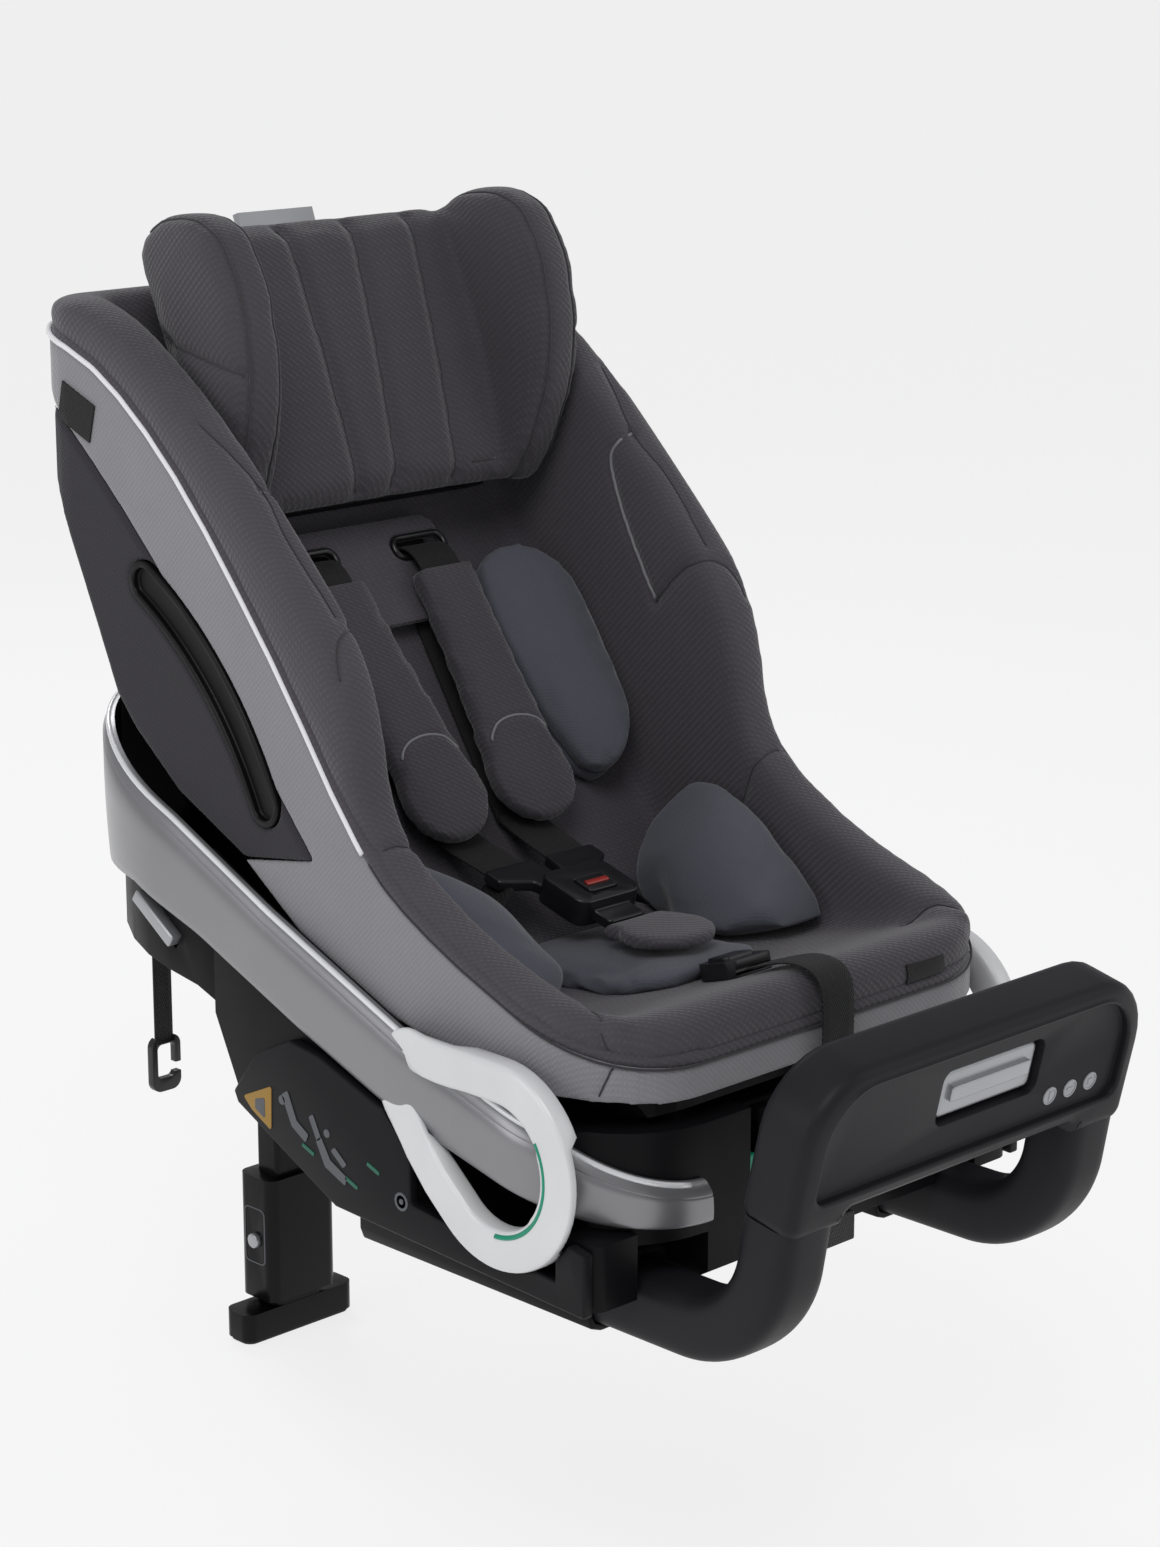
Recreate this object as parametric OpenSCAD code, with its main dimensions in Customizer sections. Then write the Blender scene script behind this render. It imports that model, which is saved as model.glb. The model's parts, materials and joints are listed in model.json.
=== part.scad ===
// Convertible child car seat on its own base, with rebound bar and support leg.
// X is width, -Y is the foot end with the rebound bar, +Y is the head end with the
// support leg, Z is up. The origin is the centre of the base's resting face.

/* [Shell] */
// Half width over the fabric rim of the shell
rim_half_w = 201; // [199:1:202]
// Half width of the rigid shell
shell_half_w = 194; // [192:1:195]
// Half width of the hollow the child sits in
cavity_half_w = 163; // [161:1:164]
// Y of the centre that the shell reclines about
recline_y = -100; // [-104:1:-96]
// Z of the centre that the shell reclines about
recline_z = 680; // [680:1:690]
// Radius of the shell's curved underside
recline_r = 525; // [520:1:526]

/* [Base] */
// Half width of the base body
base_half_w = 206; // [205:1:207]
// Y of the base's foot end
base_front = -232; // [-234:1:-228]
// Y of the base's head end
base_back = 352; // [350:1:354]
// Thickness of the silver band round the base
band_t = 9; // [6:1:10]
// Slope of the side plates' lower edge start height
base_low_z = 52; // [46:1:56]

/* [Belt rings] */
// Width of the ring's bar
ring_bar = 28; // [24:1:29]

/* [Rebound bar] */
// Distance of each arm from the centre line
arm_x = 140; // [138:1:142]
// Width of an arm
arm_w = 46; // [42:1:46]
// Height of an arm's section
arm_h = 44; // [40:1:44]
// Size of the slanted corners of an arm's section
arm_c = 11; // [9:1:13]
// Height of the arms' centre line above the resting face
arm_z = 40; // [38:1:42]
// Radius of the bend in the arms' centre line
bend_r = 70; // [66:1:74]
// Lean of the rebound panel from upright, in degrees
panel_lean = 13; // [11:1:15]
// Half width of the rebound panel
panel_half_w = 165; // [163:1:168]
// Height of the rebound panel along its slope
panel_h = 112; // [108:1:118]
// Thickness of the rebound panel
panel_t = 46; // [44:1:48]

/* [Support leg] */
// Y of the leg's centre line
leg_y = 325; // [322:1:328]
// Height of the leg's pivot
pivot_z = 112; // [110:1:114]
// Radius of the leg's pivot pin
pin_r = 5; // [4:0.5:6]
// Height of the foot's underside when the leg is pushed in
foot_z = -181; // [-184:1:-178]

/* [Headrest] */
// Half width over the headrest's wings
head_half_w = 158; // [154:1:159]
// Thickness of a wing
wing_t = 40; // [36:1:42]
// Slope of the headrest's face from horizontal, in degrees
head_angle = 70; // [69:1:71]
// Height of the headrest's face
head_h = 215; // [205:1:218]

/* [Harness] */
// Width of the harness webbing
web_w = 38; // [34:1:38]
// Thickness of the webbing
web_t = 2.2; // [1.8:0.1:2.4]
// Distance of each shoulder strap from the centre line at the slots
slot_x = 52; // [50:1:54]
// Width of the adjuster strap
pull_w = 30; // [25:1:32]

/* [Hidden] */
$fn = 64;

gap = 0.5;
fabric = "dimgray";
dark = [0.16, 0.16, 0.17];
silver = [0.72, 0.72, 0.74];

// Points of an arc in a plane, from angle a0 to a1
function arc(cx, cy, r, a0, a1, n = 8) =
    [for (i = [0:n]) let (a = a0 + (a1 - a0) * i / n) [cx + r * cos(a), cy + r * sin(a)]];

// Outline seen from above, with rounded corners at the foot and head ends
function plan(w, y0, y1, r0, r1) = concat(
    arc(w - r0, y0 + r0, r0, -90, 0), arc(w - r1, y1 - r1, r1, 0, 90),
    arc(-w + r1, y1 - r1, r1, 90, 180), arc(-w + r0, y0 + r0, r0, 180, 270));

// A smooth curve through points, with three steps from each one to the next
function curve(p) = let (n = len(p) - 1) concat([for (i = [0:n - 1], t = [0:1/3:0.9])
    let (a = p[max(i - 1, 0)], b = p[i], c = p[i + 1], d = p[min(i + 2, n)])
    b + ((c - a) * t + (2 * a - 5 * b + 4 * c - d) * t * t + (3 * b - a - 3 * c + d) * t * t * t) / 2],
    [p[n]]);

// Side view outlines, as Y and Z pairs, foot end first
ridge = concat([[-230, 210], [-228, 226]], curve([[-214, 236], [-166, 241], [-110, 258], [-66, 277],
    [-16, 309], [4, 344], [12, 386], [34, 438], [100, 509], [172, 574], [240, 620], [290, 641],
    [336, 641]]), [[354, 628]]);
seam = curve([[-230, 200], [-202, 208], [-150, 229], [-66, 264], [0, 310], [87, 424], [184, 534],
    [270, 598], [354, 622]]);
panel_edge = curve([[48, 292], [125, 378], [215, 476], [300, 552], [354, 588]]);
shell_back = [[354, 580], [320, 508], [278, 420], [246, 290]];
hollow = [[-400, 300], [-246, 244], [-205, 232], [-150, 212], [-90, 198], [0, 190], [45, 200],
    [82, 238], [154, 333], [254, 462], [318, 655], [330, 800], [-400, 800]];
band_top = [[-245, 122], [-225, 134], [-180, 161], [-52, 199], [85, 254], [185, 300], [290, 342],
    [370, 362]];
band_bottom = [[370, 262], [283, 243], [235, 243], [159, 220], [50, 176], [-27, 148], [-79, 134],
    [-175, 112], [-245, 94]];

function rev(a) = [for (i = [len(a) - 1:-1:0]) a[i]];
function shift(a, d) = [for (p = a) p + d];

// Frames that follow the backrest and the headrest face
back_o = [154, 333];
back_angle = atan2(129, 100);
head_o = [202, 484];
panel_foot = [-326, 126];

module along_x(x0, x1, outline)
    translate([x0, 0, 0]) rotate([90, 0, 90]) linear_extrude(x1 - x0) polygon(outline);
module both() { children(); mirror([1, 0, 0]) children(); }
module side(s) { if (s < 0) children(); else mirror([1, 0, 0]) children(); }
module upright(outline, z0 = -50, z1 = 900)
    translate([0, 0, z0]) linear_extrude(z1 - z0) polygon(outline);
module drum(r, x) translate([-x, recline_y, recline_z]) rotate([0, 90, 0]) cylinder(r = r, h = 2 * x, $fn = 180);
module barrel(d) translate([0, recline_y, recline_z]) rotate([0, 90, 0]) rotate_extrude($fn = 180)
    polygon([[0, d - shell_half_w], [455 - d / 2, d - shell_half_w], [recline_r - d, d / 2 - 150],
        [recline_r - d, 150 - d / 2], [455 - d / 2, shell_half_w - d], [0, shell_half_w - d]]);
module on_back(u = 0, n = 0)
    translate([0, back_o[0], back_o[1]]) rotate([back_angle, 0, 0]) translate([0, u, n]) children();
module on_head(u = 0, n = 0)
    translate([0, head_o[0], head_o[1]]) rotate([head_angle, 0, 0]) translate([0, u, n]) children();
module on_panel(u = 0, n = 0)
    translate([0, panel_foot[0], panel_foot[1]]) rotate([90 + panel_lean, 0, 0])
        translate([0, u, n]) children();
module slab(w, h, r, t) linear_extrude(t) rounded(w, h, r);
module rounded(w, h, r) {
    square([w - 2 * r, h], center = true);
    square([w, h - 2 * r], center = true);
    for (x = [-1, 1], y = [-1, 1]) translate([x * (w / 2 - r), y * (h / 2 - r)]) circle(r, $fn = 32);
}

// ---- Base ----
base_plan = plan(base_half_w, base_front, base_back, 92, 150);
low_plan = plan(base_half_w, -222, base_back, 12, 150);
low_side = [[-222, base_low_z], [15, 62], [123, 112], [136, 140], [-222, 96]];
tray_side = [[base_front, 58], [-222, base_low_z], [15, 62], [123, 112], [149, 165], [149, 282],
    [85, 252], [-52, 197], [-180, 164], [base_front, 160]];
keel_front = -130;
keel_back = 18;
keel_half_w = 95;
channel_half_w = 38;
pocket_half_w = 62;
sleeve_t = 4;
sleeve_y0 = -178;
sleeve_y1 = 46;
belt_slot = [[-196, 70], [-60, 84], [-60, 132], [-196, 132]];
recess_half_w = 74;
groove = [108, 126];

module rail_zone(r0, r1, x0, x1, y0, y1)
    both() intersection() {
        difference() { drum(r1, x1); drum(r0, x1 + 1); }
        translate([x0, y0, 60]) cube([x1 - x0, y1 - y0, 320]);
    }

module arm_hole(x, extra)
    translate([x, sleeve_y1 + 1, arm_z]) rotate([90, 0, 0])
        linear_extrude(sleeve_y1 - sleeve_y0 + 60) arm_section(extra);

module base_tray() color(dark) difference() {
    union() {
        intersection() { upright(base_plan); along_x(-base_half_w, base_half_w, tray_side); }
        both() intersection() {
            upright(low_plan);
            along_x(arm_x + arm_w / 2 + sleeve_t, base_half_w, low_side);
        }
        translate([0, keel_back, 0]) rotate([90, 0, 0]) linear_extrude(keel_back - keel_front)
            polygon([[-keel_half_w, 0], [keel_half_w, 0], [base_half_w - 12, base_low_z + 4],
                [base_half_w - 12, 70], [12 - base_half_w, 70], [12 - base_half_w, base_low_z + 4]]);
    }
    drum(recline_r + 1, rim_half_w + 1.5);
    rail_zone(recline_r, recline_r + 9, groove[0], groove[1], -215, 330);
    // Room for the folded leg and its foot
    translate([-channel_half_w, 40, -20]) cube([2 * channel_half_w, 200, 158]);
    translate([-pocket_half_w, 24, -20]) cube([2 * pocket_half_w, 46, 156]);
    // Way for the vehicle's belt, from side to side
    along_x(-base_half_w - 5, base_half_w + 5, belt_slot);
    // Recess in the middle of the foot end
    translate([-recess_half_w, base_front - 5, 84]) cube([2 * recess_half_w, 47, 120]);
    both() arm_hole(arm_x, sleeve_t + gap / 2);
    // Room over the arms' bends when the bar is pushed in
    both() translate([arm_x - arm_w / 2 - 4, base_front - 8, 0]) cube([arm_w + 8, 44, 86]);
    // Bearings of the recline handle
    translate([-80, handle_y, handle_z]) rotate([0, 90, 0]) cylinder(r = handle_r + 0.06, h = 160);
    screw_sites() {
        cylinder(r = 2.2, h = 40, center = true, $fn = 24);
        translate([0, 0, -17]) cylinder(r = 4.6, h = 8.4, $fn = 32);
    }
}

module screw_sites()
    for (x = [-60, 60], y = [-110, -20]) translate([x, y, 12]) children();

module head_housing() color(dark) difference() {
    intersection() {
        upright(plan(base_half_w - 4, base_front, base_back - 2, 92, 148));
        along_x(-base_half_w, base_half_w, [[150, 170], [173, 178], [300, 197], [348, 204],
            [348, 366], [290, 348], [185, 297], [150, 281]]);
    }
    drum(recline_r + 1, rim_half_w + 1.5);
    rail_zone(recline_r, recline_r + 9, groove[0], groove[1], -215, 330);
    translate([-50.3, 296, 100]) cube([100.6, 48, 142]);
    both() translate([-159, 278, 160]) cube([20, 8, 75]);
    both() release_body(3, 30);
}

module recline_rails() color("slategray")
    rail_zone(recline_r + 0.8, recline_r + 8.6, groove[0] + 0.4, groove[1] - 0.4, -208, 322);

plate_side = [[-222, base_low_z], [15, 62], [116, 110], [120, 118], [96, 150], [60, 168],
    [30, 164], [-27, 145], [-150, 110], [-222, 94]];

module side_plate(s) side(s) color([0.2, 0.2, 0.21]) difference() {
    along_x(-base_half_w - 9, -base_half_w - gap, plate_side);
    ring_solid(-base_half_w - 30, -base_half_w + 5, 0.6, false);
    along_x(-260, -190, belt_slot);
    below_band();
}

module below_band()
    along_x(-base_half_w - band_t - 3, -base_half_w + 4, concat(shift(band_top, [0, 1]),
        shift(band_bottom, [0, -1])));

module silver_band() color(silver) difference() {
    intersection() {
        upright(plan(base_half_w + band_t, base_front - band_t, base_back + band_t, 100, 158));
        along_x(-300, 300, concat(band_top, band_bottom));
    }
    upright(plan(base_half_w + gap, base_front - gap, base_back + gap, 92, 150));
    // The band stops short of the middle at the foot end, with slanted ends
    translate([0, base_front - 5, 0]) rotate([90, 0, 180]) linear_extrude(40, center = true)
        polygon([[-122, 140], [122, 140], [110, 60], [-110, 60]]);
}

// Outline of the belt ring: two circles joined by tangents, as circles and a band
ring_a = [-148, 136];
ring_b = [-66, 166];
module ring_outline(ra, rb) {
    d = ring_b - ring_a;
    l = norm(d);
    t = atan2(d[1], d[0]);
    k = acos((ra - rb) / l);
    translate(ring_a) circle(ra);
    translate(ring_b) circle(rb);
    polygon([ring_a + ra * [cos(t + k), sin(t + k)], ring_b + rb * [cos(t + k), sin(t + k)],
        ring_b + rb * [cos(t - k), sin(t - k)], ring_a + ra * [cos(t - k), sin(t - k)]]);
}
module ring_solid(x0, x1, grow, hole = true)
    translate([x0, 0, 0]) rotate([90, 0, 90]) linear_extrude(x1 - x0) difference() {
        ring_outline(70 + grow, 40 + grow);
        if (hole) ring_outline(70 - ring_bar, 40 - ring_bar);
    }

ring_x0 = -base_half_w - band_t - 8;
module belt_ring(s) side(s) color("white") difference() {
    union() {
        ring_solid(ring_x0, -base_half_w - band_t - gap, 0);
        difference() {
            ring_solid(ring_x0, -base_half_w - gap, 0);
            below_band();
        }
    }
    // Groove for the green inlay
    inlay(0.2);
    // The head end of the ring is let into the band's face
    translate([ring_x0 - 1, -62, 100]) rotate([27, 0, 0]) translate([0, 0, 10]) cube([9.5, 60, 62]);
}

module inlay(grow) translate([ring_x0 - 0.6, ring_a[0], ring_a[1]]) rotate([90, 0, 90])
    linear_extrude(2.6 + grow) intersection() {
        difference() { circle(76 - ring_bar + grow); circle(72 - ring_bar - grow); }
        polygon([[0, 0], 90 * [cos(162 - grow), sin(162 - grow)], 110 * [cos(215), sin(215)],
            90 * [cos(268 + grow), sin(268 + grow)]]);
    }
module ring_inlays() color([0, 0.55, 0.37]) both() inlay(0);

module belt_guides() color([0, 0.45, 0.3]) both() {
    translate([-recess_half_w, base_front + 3, 84]) cube([9, 34, 42]);
    translate([9 - recess_half_w, base_front + 8, 84]) cube([14, 12, 6]);
}

module arm_sleeves() color([0.12, 0.12, 0.13]) both() translate([arm_x, sleeve_y1, arm_z])
    rotate([90, 0, 0]) linear_extrude(sleeve_y1 - sleeve_y0) difference() {
        arm_section(sleeve_t);
        arm_section(gap);
    }

bracket_t = 6;
module leg_bracket() color("slategray") difference() {
    union() {
        both() translate([22, 300, 96]) cube([bracket_t, 44, 144]);
        translate([-28, 300, 222]) cube([56, 44, 18]);
        both() translate([28, 306, 214]) cube([22, 32, 26]);
    }
    translate([-60, leg_y, pivot_z]) rotate([0, 90, 0]) cylinder(r = pin_r + 0.02, h = 120);
}
module leg_pivot_pin() color("silver") {
    translate([-30, leg_y, pivot_z]) rotate([0, 90, 0]) cylinder(r = pin_r, h = 60);
    for (x = [-32.5, 28.5]) translate([x, leg_y, pivot_z]) rotate([0, 90, 0]) cylinder(r = 8, h = 4);
}

module base_screws() color("silver") screw_sites() {
    translate([0, 0, -11]) cylinder(r = 4, h = 2.2, $fn = 32);
    translate([0, 0, -9]) cylinder(r = 2, h = 24, $fn = 24);
}

// Pull handle that frees the recline, in the recess at the foot end
handle_z = 146;
handle_r = 6;
handle_y = base_front + 32;
module recline_handle() color([0.2, 0.2, 0.21]) translate([0, handle_y, handle_z]) {
    translate([-56, -34, -16]) cube([112, 12, 22]);
    for (x = [-48, 36]) translate([x, -34, -6]) cube([12, 36, 8]);
    translate([-79, 0, 0]) rotate([0, 90, 0]) cylinder(r = handle_r, h = 158);
}

module release_body(grow, depth) translate([-base_half_w - 8, 214, 219]) rotate([atan2(24, 36), 0, 0])
    translate([0, -24 - grow / 2, -5 - grow / 2]) cube([depth, 48 + grow, 10 + grow]);
module strap_release(s) side(s) color("lightgray") intersection() {
    release_body(0, 20);
    translate([-base_half_w - 3, 150, 180]) cube([14, 120, 90]);
}

// Tether straps that hang from the head end, and the hooks stitched to them
tether = [-149, 282];
module tether_strap(s) side(s) color("black")
    translate([tether[0] - 8, tether[1] - 1.2, 99]) cube([16, 2.4, 126]);
module tether_hook(s) side(s) color([0.1, 0.1, 0.11]) translate([tether[0], tether[1], 82])
    rotate([90, 0, 0]) linear_extrude(6, center = true) difference() {
        rounded(26, 42, 8);
        translate([0, 2]) rounded(16, 26, 4);
        translate([6, -8]) square([16, 7]);
        translate([-8.3, 16.5]) square([16.6, 10]);
    }

// ---- Support leg ----
tube_w = 40;
tube_d = 25;
tube_wall = 2;
leg_box_top = -50;
leg_box_low = -150;
module leg_shape(w, d, z0, z1, r) translate([0, leg_y, z0]) linear_extrude(z1 - z0) rounded(w, d, r);
module leg_tube() color([0.1, 0.1, 0.11]) difference() {
    union() {
        leg_shape(tube_w, tube_d, leg_box_top - 1, pivot_z + 2, 4);
        translate([-tube_w / 2, leg_y, pivot_z + 2]) rotate([0, 90, 0]) cylinder(r = tube_d / 2, h = tube_w);
        leg_shape(66, 40, leg_box_low, leg_box_top, 9);
        translate([-21.6, leg_y, pivot_z]) rotate([0, 90, 0]) cylinder(r = 9, h = 43.2);
    }
    leg_shape(tube_w - 2 * tube_wall, tube_d - 2 * tube_wall, leg_box_low - 1, pivot_z - 10, 2);
    translate([-60, leg_y, pivot_z]) rotate([0, 90, 0]) cylinder(r = pin_r + 0.05, h = 120);
    translate([-34, leg_y, -102]) rotate([0, 90, 0]) cylinder(r = 6.05, h = 9.5);
}
module leg_button() color("silver") translate([-36.5, leg_y, -102]) rotate([0, 90, 0])
    cylinder(r = 6, h = 8);
inner_w = tube_w - 2 * tube_wall - 0.6;
inner_d = tube_d - 2 * tube_wall - 0.6;
module leg_inner_tube() color("gray") difference() {
    leg_shape(inner_w, inner_d, -156, pivot_z - 13, 2);
    leg_shape(inner_w - 4, inner_d - 4, -157, pivot_z, 1);
}
module leg_foot() color([0.09, 0.09, 0.1]) translate([0, leg_y, foot_z + 3]) {
    linear_extrude(22) rounded(108, 30, 9);
    translate([0, 0, 21]) linear_extrude(6.5) difference() {
        rounded(48, 29, 8);
        rounded(inner_w + 0.2, inner_d + 0.2, 2.1);
    }
    translate([0, 0, 21]) linear_extrude(30) rounded(inner_w - 4.4, inner_d - 4.4, 0.8);
}
module foot_sole() color([0.05, 0.05, 0.05]) translate([0, leg_y, foot_z]) linear_extrude(3) rounded(104, 26, 8);

// ---- Rebound bar ----
bend_y = panel_foot[0] + bend_r * cos(panel_lean)
    + (panel_foot[1] - arm_z - bend_r * (1 - sin(panel_lean))) * tan(panel_lean);
arm_up = (panel_foot[1] - arm_z - bend_r * (1 - sin(panel_lean))) / cos(panel_lean);
tongue = [32, 22, 30];
module arm_section(grow = 0) {
    w = arm_w / 2 + grow;
    h = arm_h / 2 + grow;
    polygon([[w, arm_c - h], [w, h - arm_c], [w - 3, h - 3], [w - arm_c, h],
        [arm_c - w, h], [3 - w, h - 3], [-w, h - arm_c], [-w, arm_c - h], [3 - w, 3 - h],
        [arm_c - w, -h], [w - arm_c, -h], [w - 3, 3 - h]]);
}
module rebound_arm(s) side(s) color([0.24, 0.24, 0.25]) translate([-arm_x, 0, arm_z]) {
    translate([0, -20, 0]) rotate([90, 0, 0]) linear_extrude(-18 - bend_y) arm_section();
    // The bend stands a little proud of the straights, like a moulded elbow
    translate([0, bend_y, bend_r]) rotate([0, 90, 0])
        rotate_extrude(angle = -(90 - panel_lean), $fn = 96) translate([bend_r, 0]) rotate(90) arm_section(0.4);
    translate([0, bend_y - bend_r * cos(panel_lean), bend_r * (1 - sin(panel_lean))]) rotate([panel_lean, 0, 0]) {
        translate([0, 0, -2]) linear_extrude(arm_up + 2) arm_section();
        translate([0, 0, arm_up - 1]) linear_extrude(tongue[2] + 1) rounded(tongue[0], tongue[1], 3);
    }
}
module panel_outline() difference() {
    union() {
        translate([0, panel_h / 2]) rounded(2 * panel_half_w, panel_h, 34);
        translate([0, panel_h / 4]) rounded(2 * panel_half_w, panel_h / 2, 5);
    }
    // The lower edge is raised between the two arms
    translate([0, -22]) rounded(2 * (arm_x - arm_w / 2 - 4), 64, 20);
}
handle_u = 66;
handle_x = 14;
module rebound_panel() color([0.22, 0.22, 0.23]) difference() {
    on_panel(0, -panel_t / 2) linear_extrude(panel_t) panel_outline();
    on_panel(0, panel_t / 2 - 7) linear_extrude(10) translate([0, panel_h / 2 + 6]) rounded(300, 80, 18);
    translate([handle_x, 0, 0]) on_panel(handle_u, -16) linear_extrude(60) rounded(100, 40, 8);
    both() translate([arm_x, 0, 0]) on_panel(-5, 0) rotate([-90, 0, 0])
        linear_extrude(tongue[2] + 5.5) rounded(tongue[0] + 0.2, tongue[1] + 0.2, 3.1);
}
module panel_face() color([0.18, 0.18, 0.19]) difference() {
    on_panel(0, panel_t / 2 - 6.8) linear_extrude(3) translate([0, panel_h / 2 + 6]) rounded(298, 78, 17);
    translate([handle_x, 0, 0]) on_panel(handle_u, -30) linear_extrude(80) rounded(100, 40, 8);
}
module release_handle() color("silver") translate([handle_x, 0, 0]) on_panel(handle_u, 0) {
    translate([0, 0, -7]) linear_extrude(20) rounded(94, 34, 6);
    translate([-30, -4, 12]) cube([60, 12, 6]);
}
module icon_discs() color("gainsboro") for (i = [0:2]) on_panel(38, panel_t / 2 - 3.7)
    translate([82 + 21 * i, 0, 0]) cylinder(r = 7.5, h = 0.8);

// ---- Seat ----
seat_plan = plan(rim_half_w, -230, 354, 84, 52);
shell_plan = plan(shell_half_w, -222, 347, 78, 46);
shell_top = shift(seam, [0, -1.5]);
inner_hollow = [[-400, 300], [-400, 215], [-200, 206], [-150, 190], [-90, 179], [0, 174], [60, 184],
    [100, 226], [172, 318], [267, 440], [330, 578], [336, 700], [336, 800], [-400, 800]];

module shell() color([0.13, 0.13, 0.14]) difference() {
    intersection() {
        upright(shell_plan);
        along_x(-shell_half_w, shell_half_w, concat([[-230, 100], [242, 100]], rev(shell_back), rev(shell_top)));
        barrel(0);
    }
    intersection() {
        along_x(-shell_half_w + 7, shell_half_w - 7, inner_hollow);
        barrel(7);
    }
    rail_zone(recline_r - 8, recline_r + 2, groove[0], groove[1], -190, 260);
}
module shell_runners() color("silver")
    rail_zone(recline_r - 7.6, recline_r - 0.4, groove[0] + 0.6, groove[1] - 0.6, -185, 236);

cover_t = rim_half_w - shell_half_w - gap;
vent_c = [372, 192];
vent_r = 304;
module vent(r, x0, x1) translate([x0, 0, 0]) rotate([90, 0, 90]) linear_extrude(x1 - x0) {
    a = [atan2(460 - vent_c[1], 219 - vent_c[0]), atan2(318 - vent_c[1], 104 - vent_c[0])];
    intersection() {
        translate(vent_c) difference() { circle(vent_r + r, $fn = 180); circle(vent_r - r, $fn = 180); }
        translate(vent_c) polygon([[0, 0], 500 * [cos(a[0]), sin(a[0])],
            520 * [cos((a[0] + a[1]) / 2), sin((a[0] + a[1]) / 2)], 500 * [cos(a[1]), sin(a[1])]]);
    }
    for (t = a) translate(vent_c + vent_r * [cos(t), sin(t)]) circle(r);
}
cover_side = concat(panel_edge, [[354, 580], [320, 508], [278, 420], [256, 372], [236, 350],
    [190, 314], [120, 281]]);
module side_cover(s) side(s) color([0.25, 0.24, 0.25]) difference() {
    intersection() {
        upright(seat_plan);
        along_x(-rim_half_w, -shell_half_w - gap, cover_side);
        drum(recline_r, rim_half_w);
    }
    vent(15.4, -rim_half_w - 2, -shell_half_w + 2);
}
module vent_trims() color([0.08, 0.08, 0.09]) both() difference() {
    vent(15, -rim_half_w - 1.5, -shell_half_w - gap);
    vent(10, -rim_half_w - 2, -rim_half_w + 3.4);
}
silver_side = concat(seam, rev(panel_edge), [[120, 279], [24, 212], [-103, 188], [-207, 181], [-230, 177]]);
module silver_cover() color(silver) difference() {
    intersection() {
        upright(seat_plan);
        along_x(-rim_half_w, rim_half_w, silver_side);
        drum(recline_r, rim_half_w);
    }
    upright(plan(shell_half_w + gap, -222.6, 347.6, 78, 46));
    both() vent(15.4, -rim_half_w - 2, -shell_half_w + 2);
}
module rim_cushion() color(fabric) difference() {
    intersection() {
        upright(seat_plan);
        along_x(-rim_half_w, rim_half_w, concat(shift(seam, [0, 0.6]), rev(ridge)));
    }
    along_x(-cavity_half_w, cavity_half_w, hollow);
}
liner_side = concat([[-205, 120], [330, 120], [346, 617]], rev(shift(seam, [0, -0.2])));
module seat_liner() color([0.3, 0.29, 0.3]) difference() {
    intersection() {
        upright(plan(shell_half_w - 8, -214, 338, 70, 38));
        along_x(-shell_half_w + 8, shell_half_w - 8, liner_side);
        along_x(-250, 250, shift(inner_hollow, [-1, 1]));
        barrel(8);
    }
    along_x(-cavity_half_w, cavity_half_w, hollow);
    on_back(-120, -6) translate([-20, -10, 0]) cube([40, 20, 20]);
}

// Insert pads for a small child
lumbar_r = 43;
module lumbar_pad(s) side(s) color("slategray") intersection() {
    on_back(20, 2) translate([-121, 0, 0]) rotate([0, 20, 0]) linear_extrude(38) {
        translate([0, 50]) circle(lumbar_r);
        translate([0, -50]) circle(lumbar_r);
        square([2 * lumbar_r, 100], center = true);
    }
    along_x(-161, -83, shift(hollow, [-1.5, 1.5]));
}
hip_side = [[52, 214], [60, 258], [38, 296], [10, 292], [-40, 262], [-92, 226], [-104, 208], [-60, 203],
    [0, 197], [40, 202]];
hip_plan = [[-158, -110], [-158, 62], [-98, 62], [-92, 8], [-74, -18], [-74, -68], [-104, -104]];
// Across the seat the pad falls from the side wall towards the middle
hip_slope = [[-162, 170], [-162, 300], [-146, 296], [-128, 276], [-104, 240], [-86, 220], [-72, 204], [-72, 170]];
module hip_pad(s) side(s) color("slategray") intersection() {
    upright(hip_plan, 150, 320);
    along_x(-162, -70, hip_side);
    along_x(-162, -60, shift(hollow, [-1.5, 1.5]));
    translate([0, 80, 0]) rotate([90, 0, 0]) linear_extrude(200) polygon(hip_slope);
}
module seat_insert() color("slategray") intersection() {
    translate([0, -55, 150]) linear_extrude(80) rounded(128, 150, 40);
    along_x(-80, 80, shift(hollow, [0, 1]));
    along_x(-80, 80, [[-140, 150], [30, 150], [30, 205], [-90, 213], [-140, 222]]);
}

// ---- Harness ----
strap_path = [[0, 4.6], [-226, 4.6], [-242, 7.5], [-256, 13.5], [-308, 41]];
buckle_at = [0, -6, 232];
module shoulder_straps() color([0.06, 0.06, 0.07]) both() on_back(158, 0) translate([-slot_x, 0, 0])
    rotate([0, 0, 4.4]) along_x(-web_w / 2, web_w / 2, ribbon(strap_path, web_t));
module hip_straps() color([0.06, 0.06, 0.07]) for (s = [-1, 1]) side(s) hull() {
    translate([-86, 14, 208]) rotate([0, 12, 0]) cube([2, 30, web_t]);
    translate([-34, -6, 224]) cube([2, 26, web_t]);
}
module crotch_pad() color(fabric) difference() {
    translate([0, -66, 224]) rotate([-2, 0, 0]) linear_extrude(10) {
        rounded(56, 84, 20);
        translate([0, -18]) circle(34);
    }
    translate([-31, -50, 215]) cube([62, 63, 40]);
}
module buckle_frame() translate(buckle_at) rotate([16, 0, 0]) children();
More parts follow.
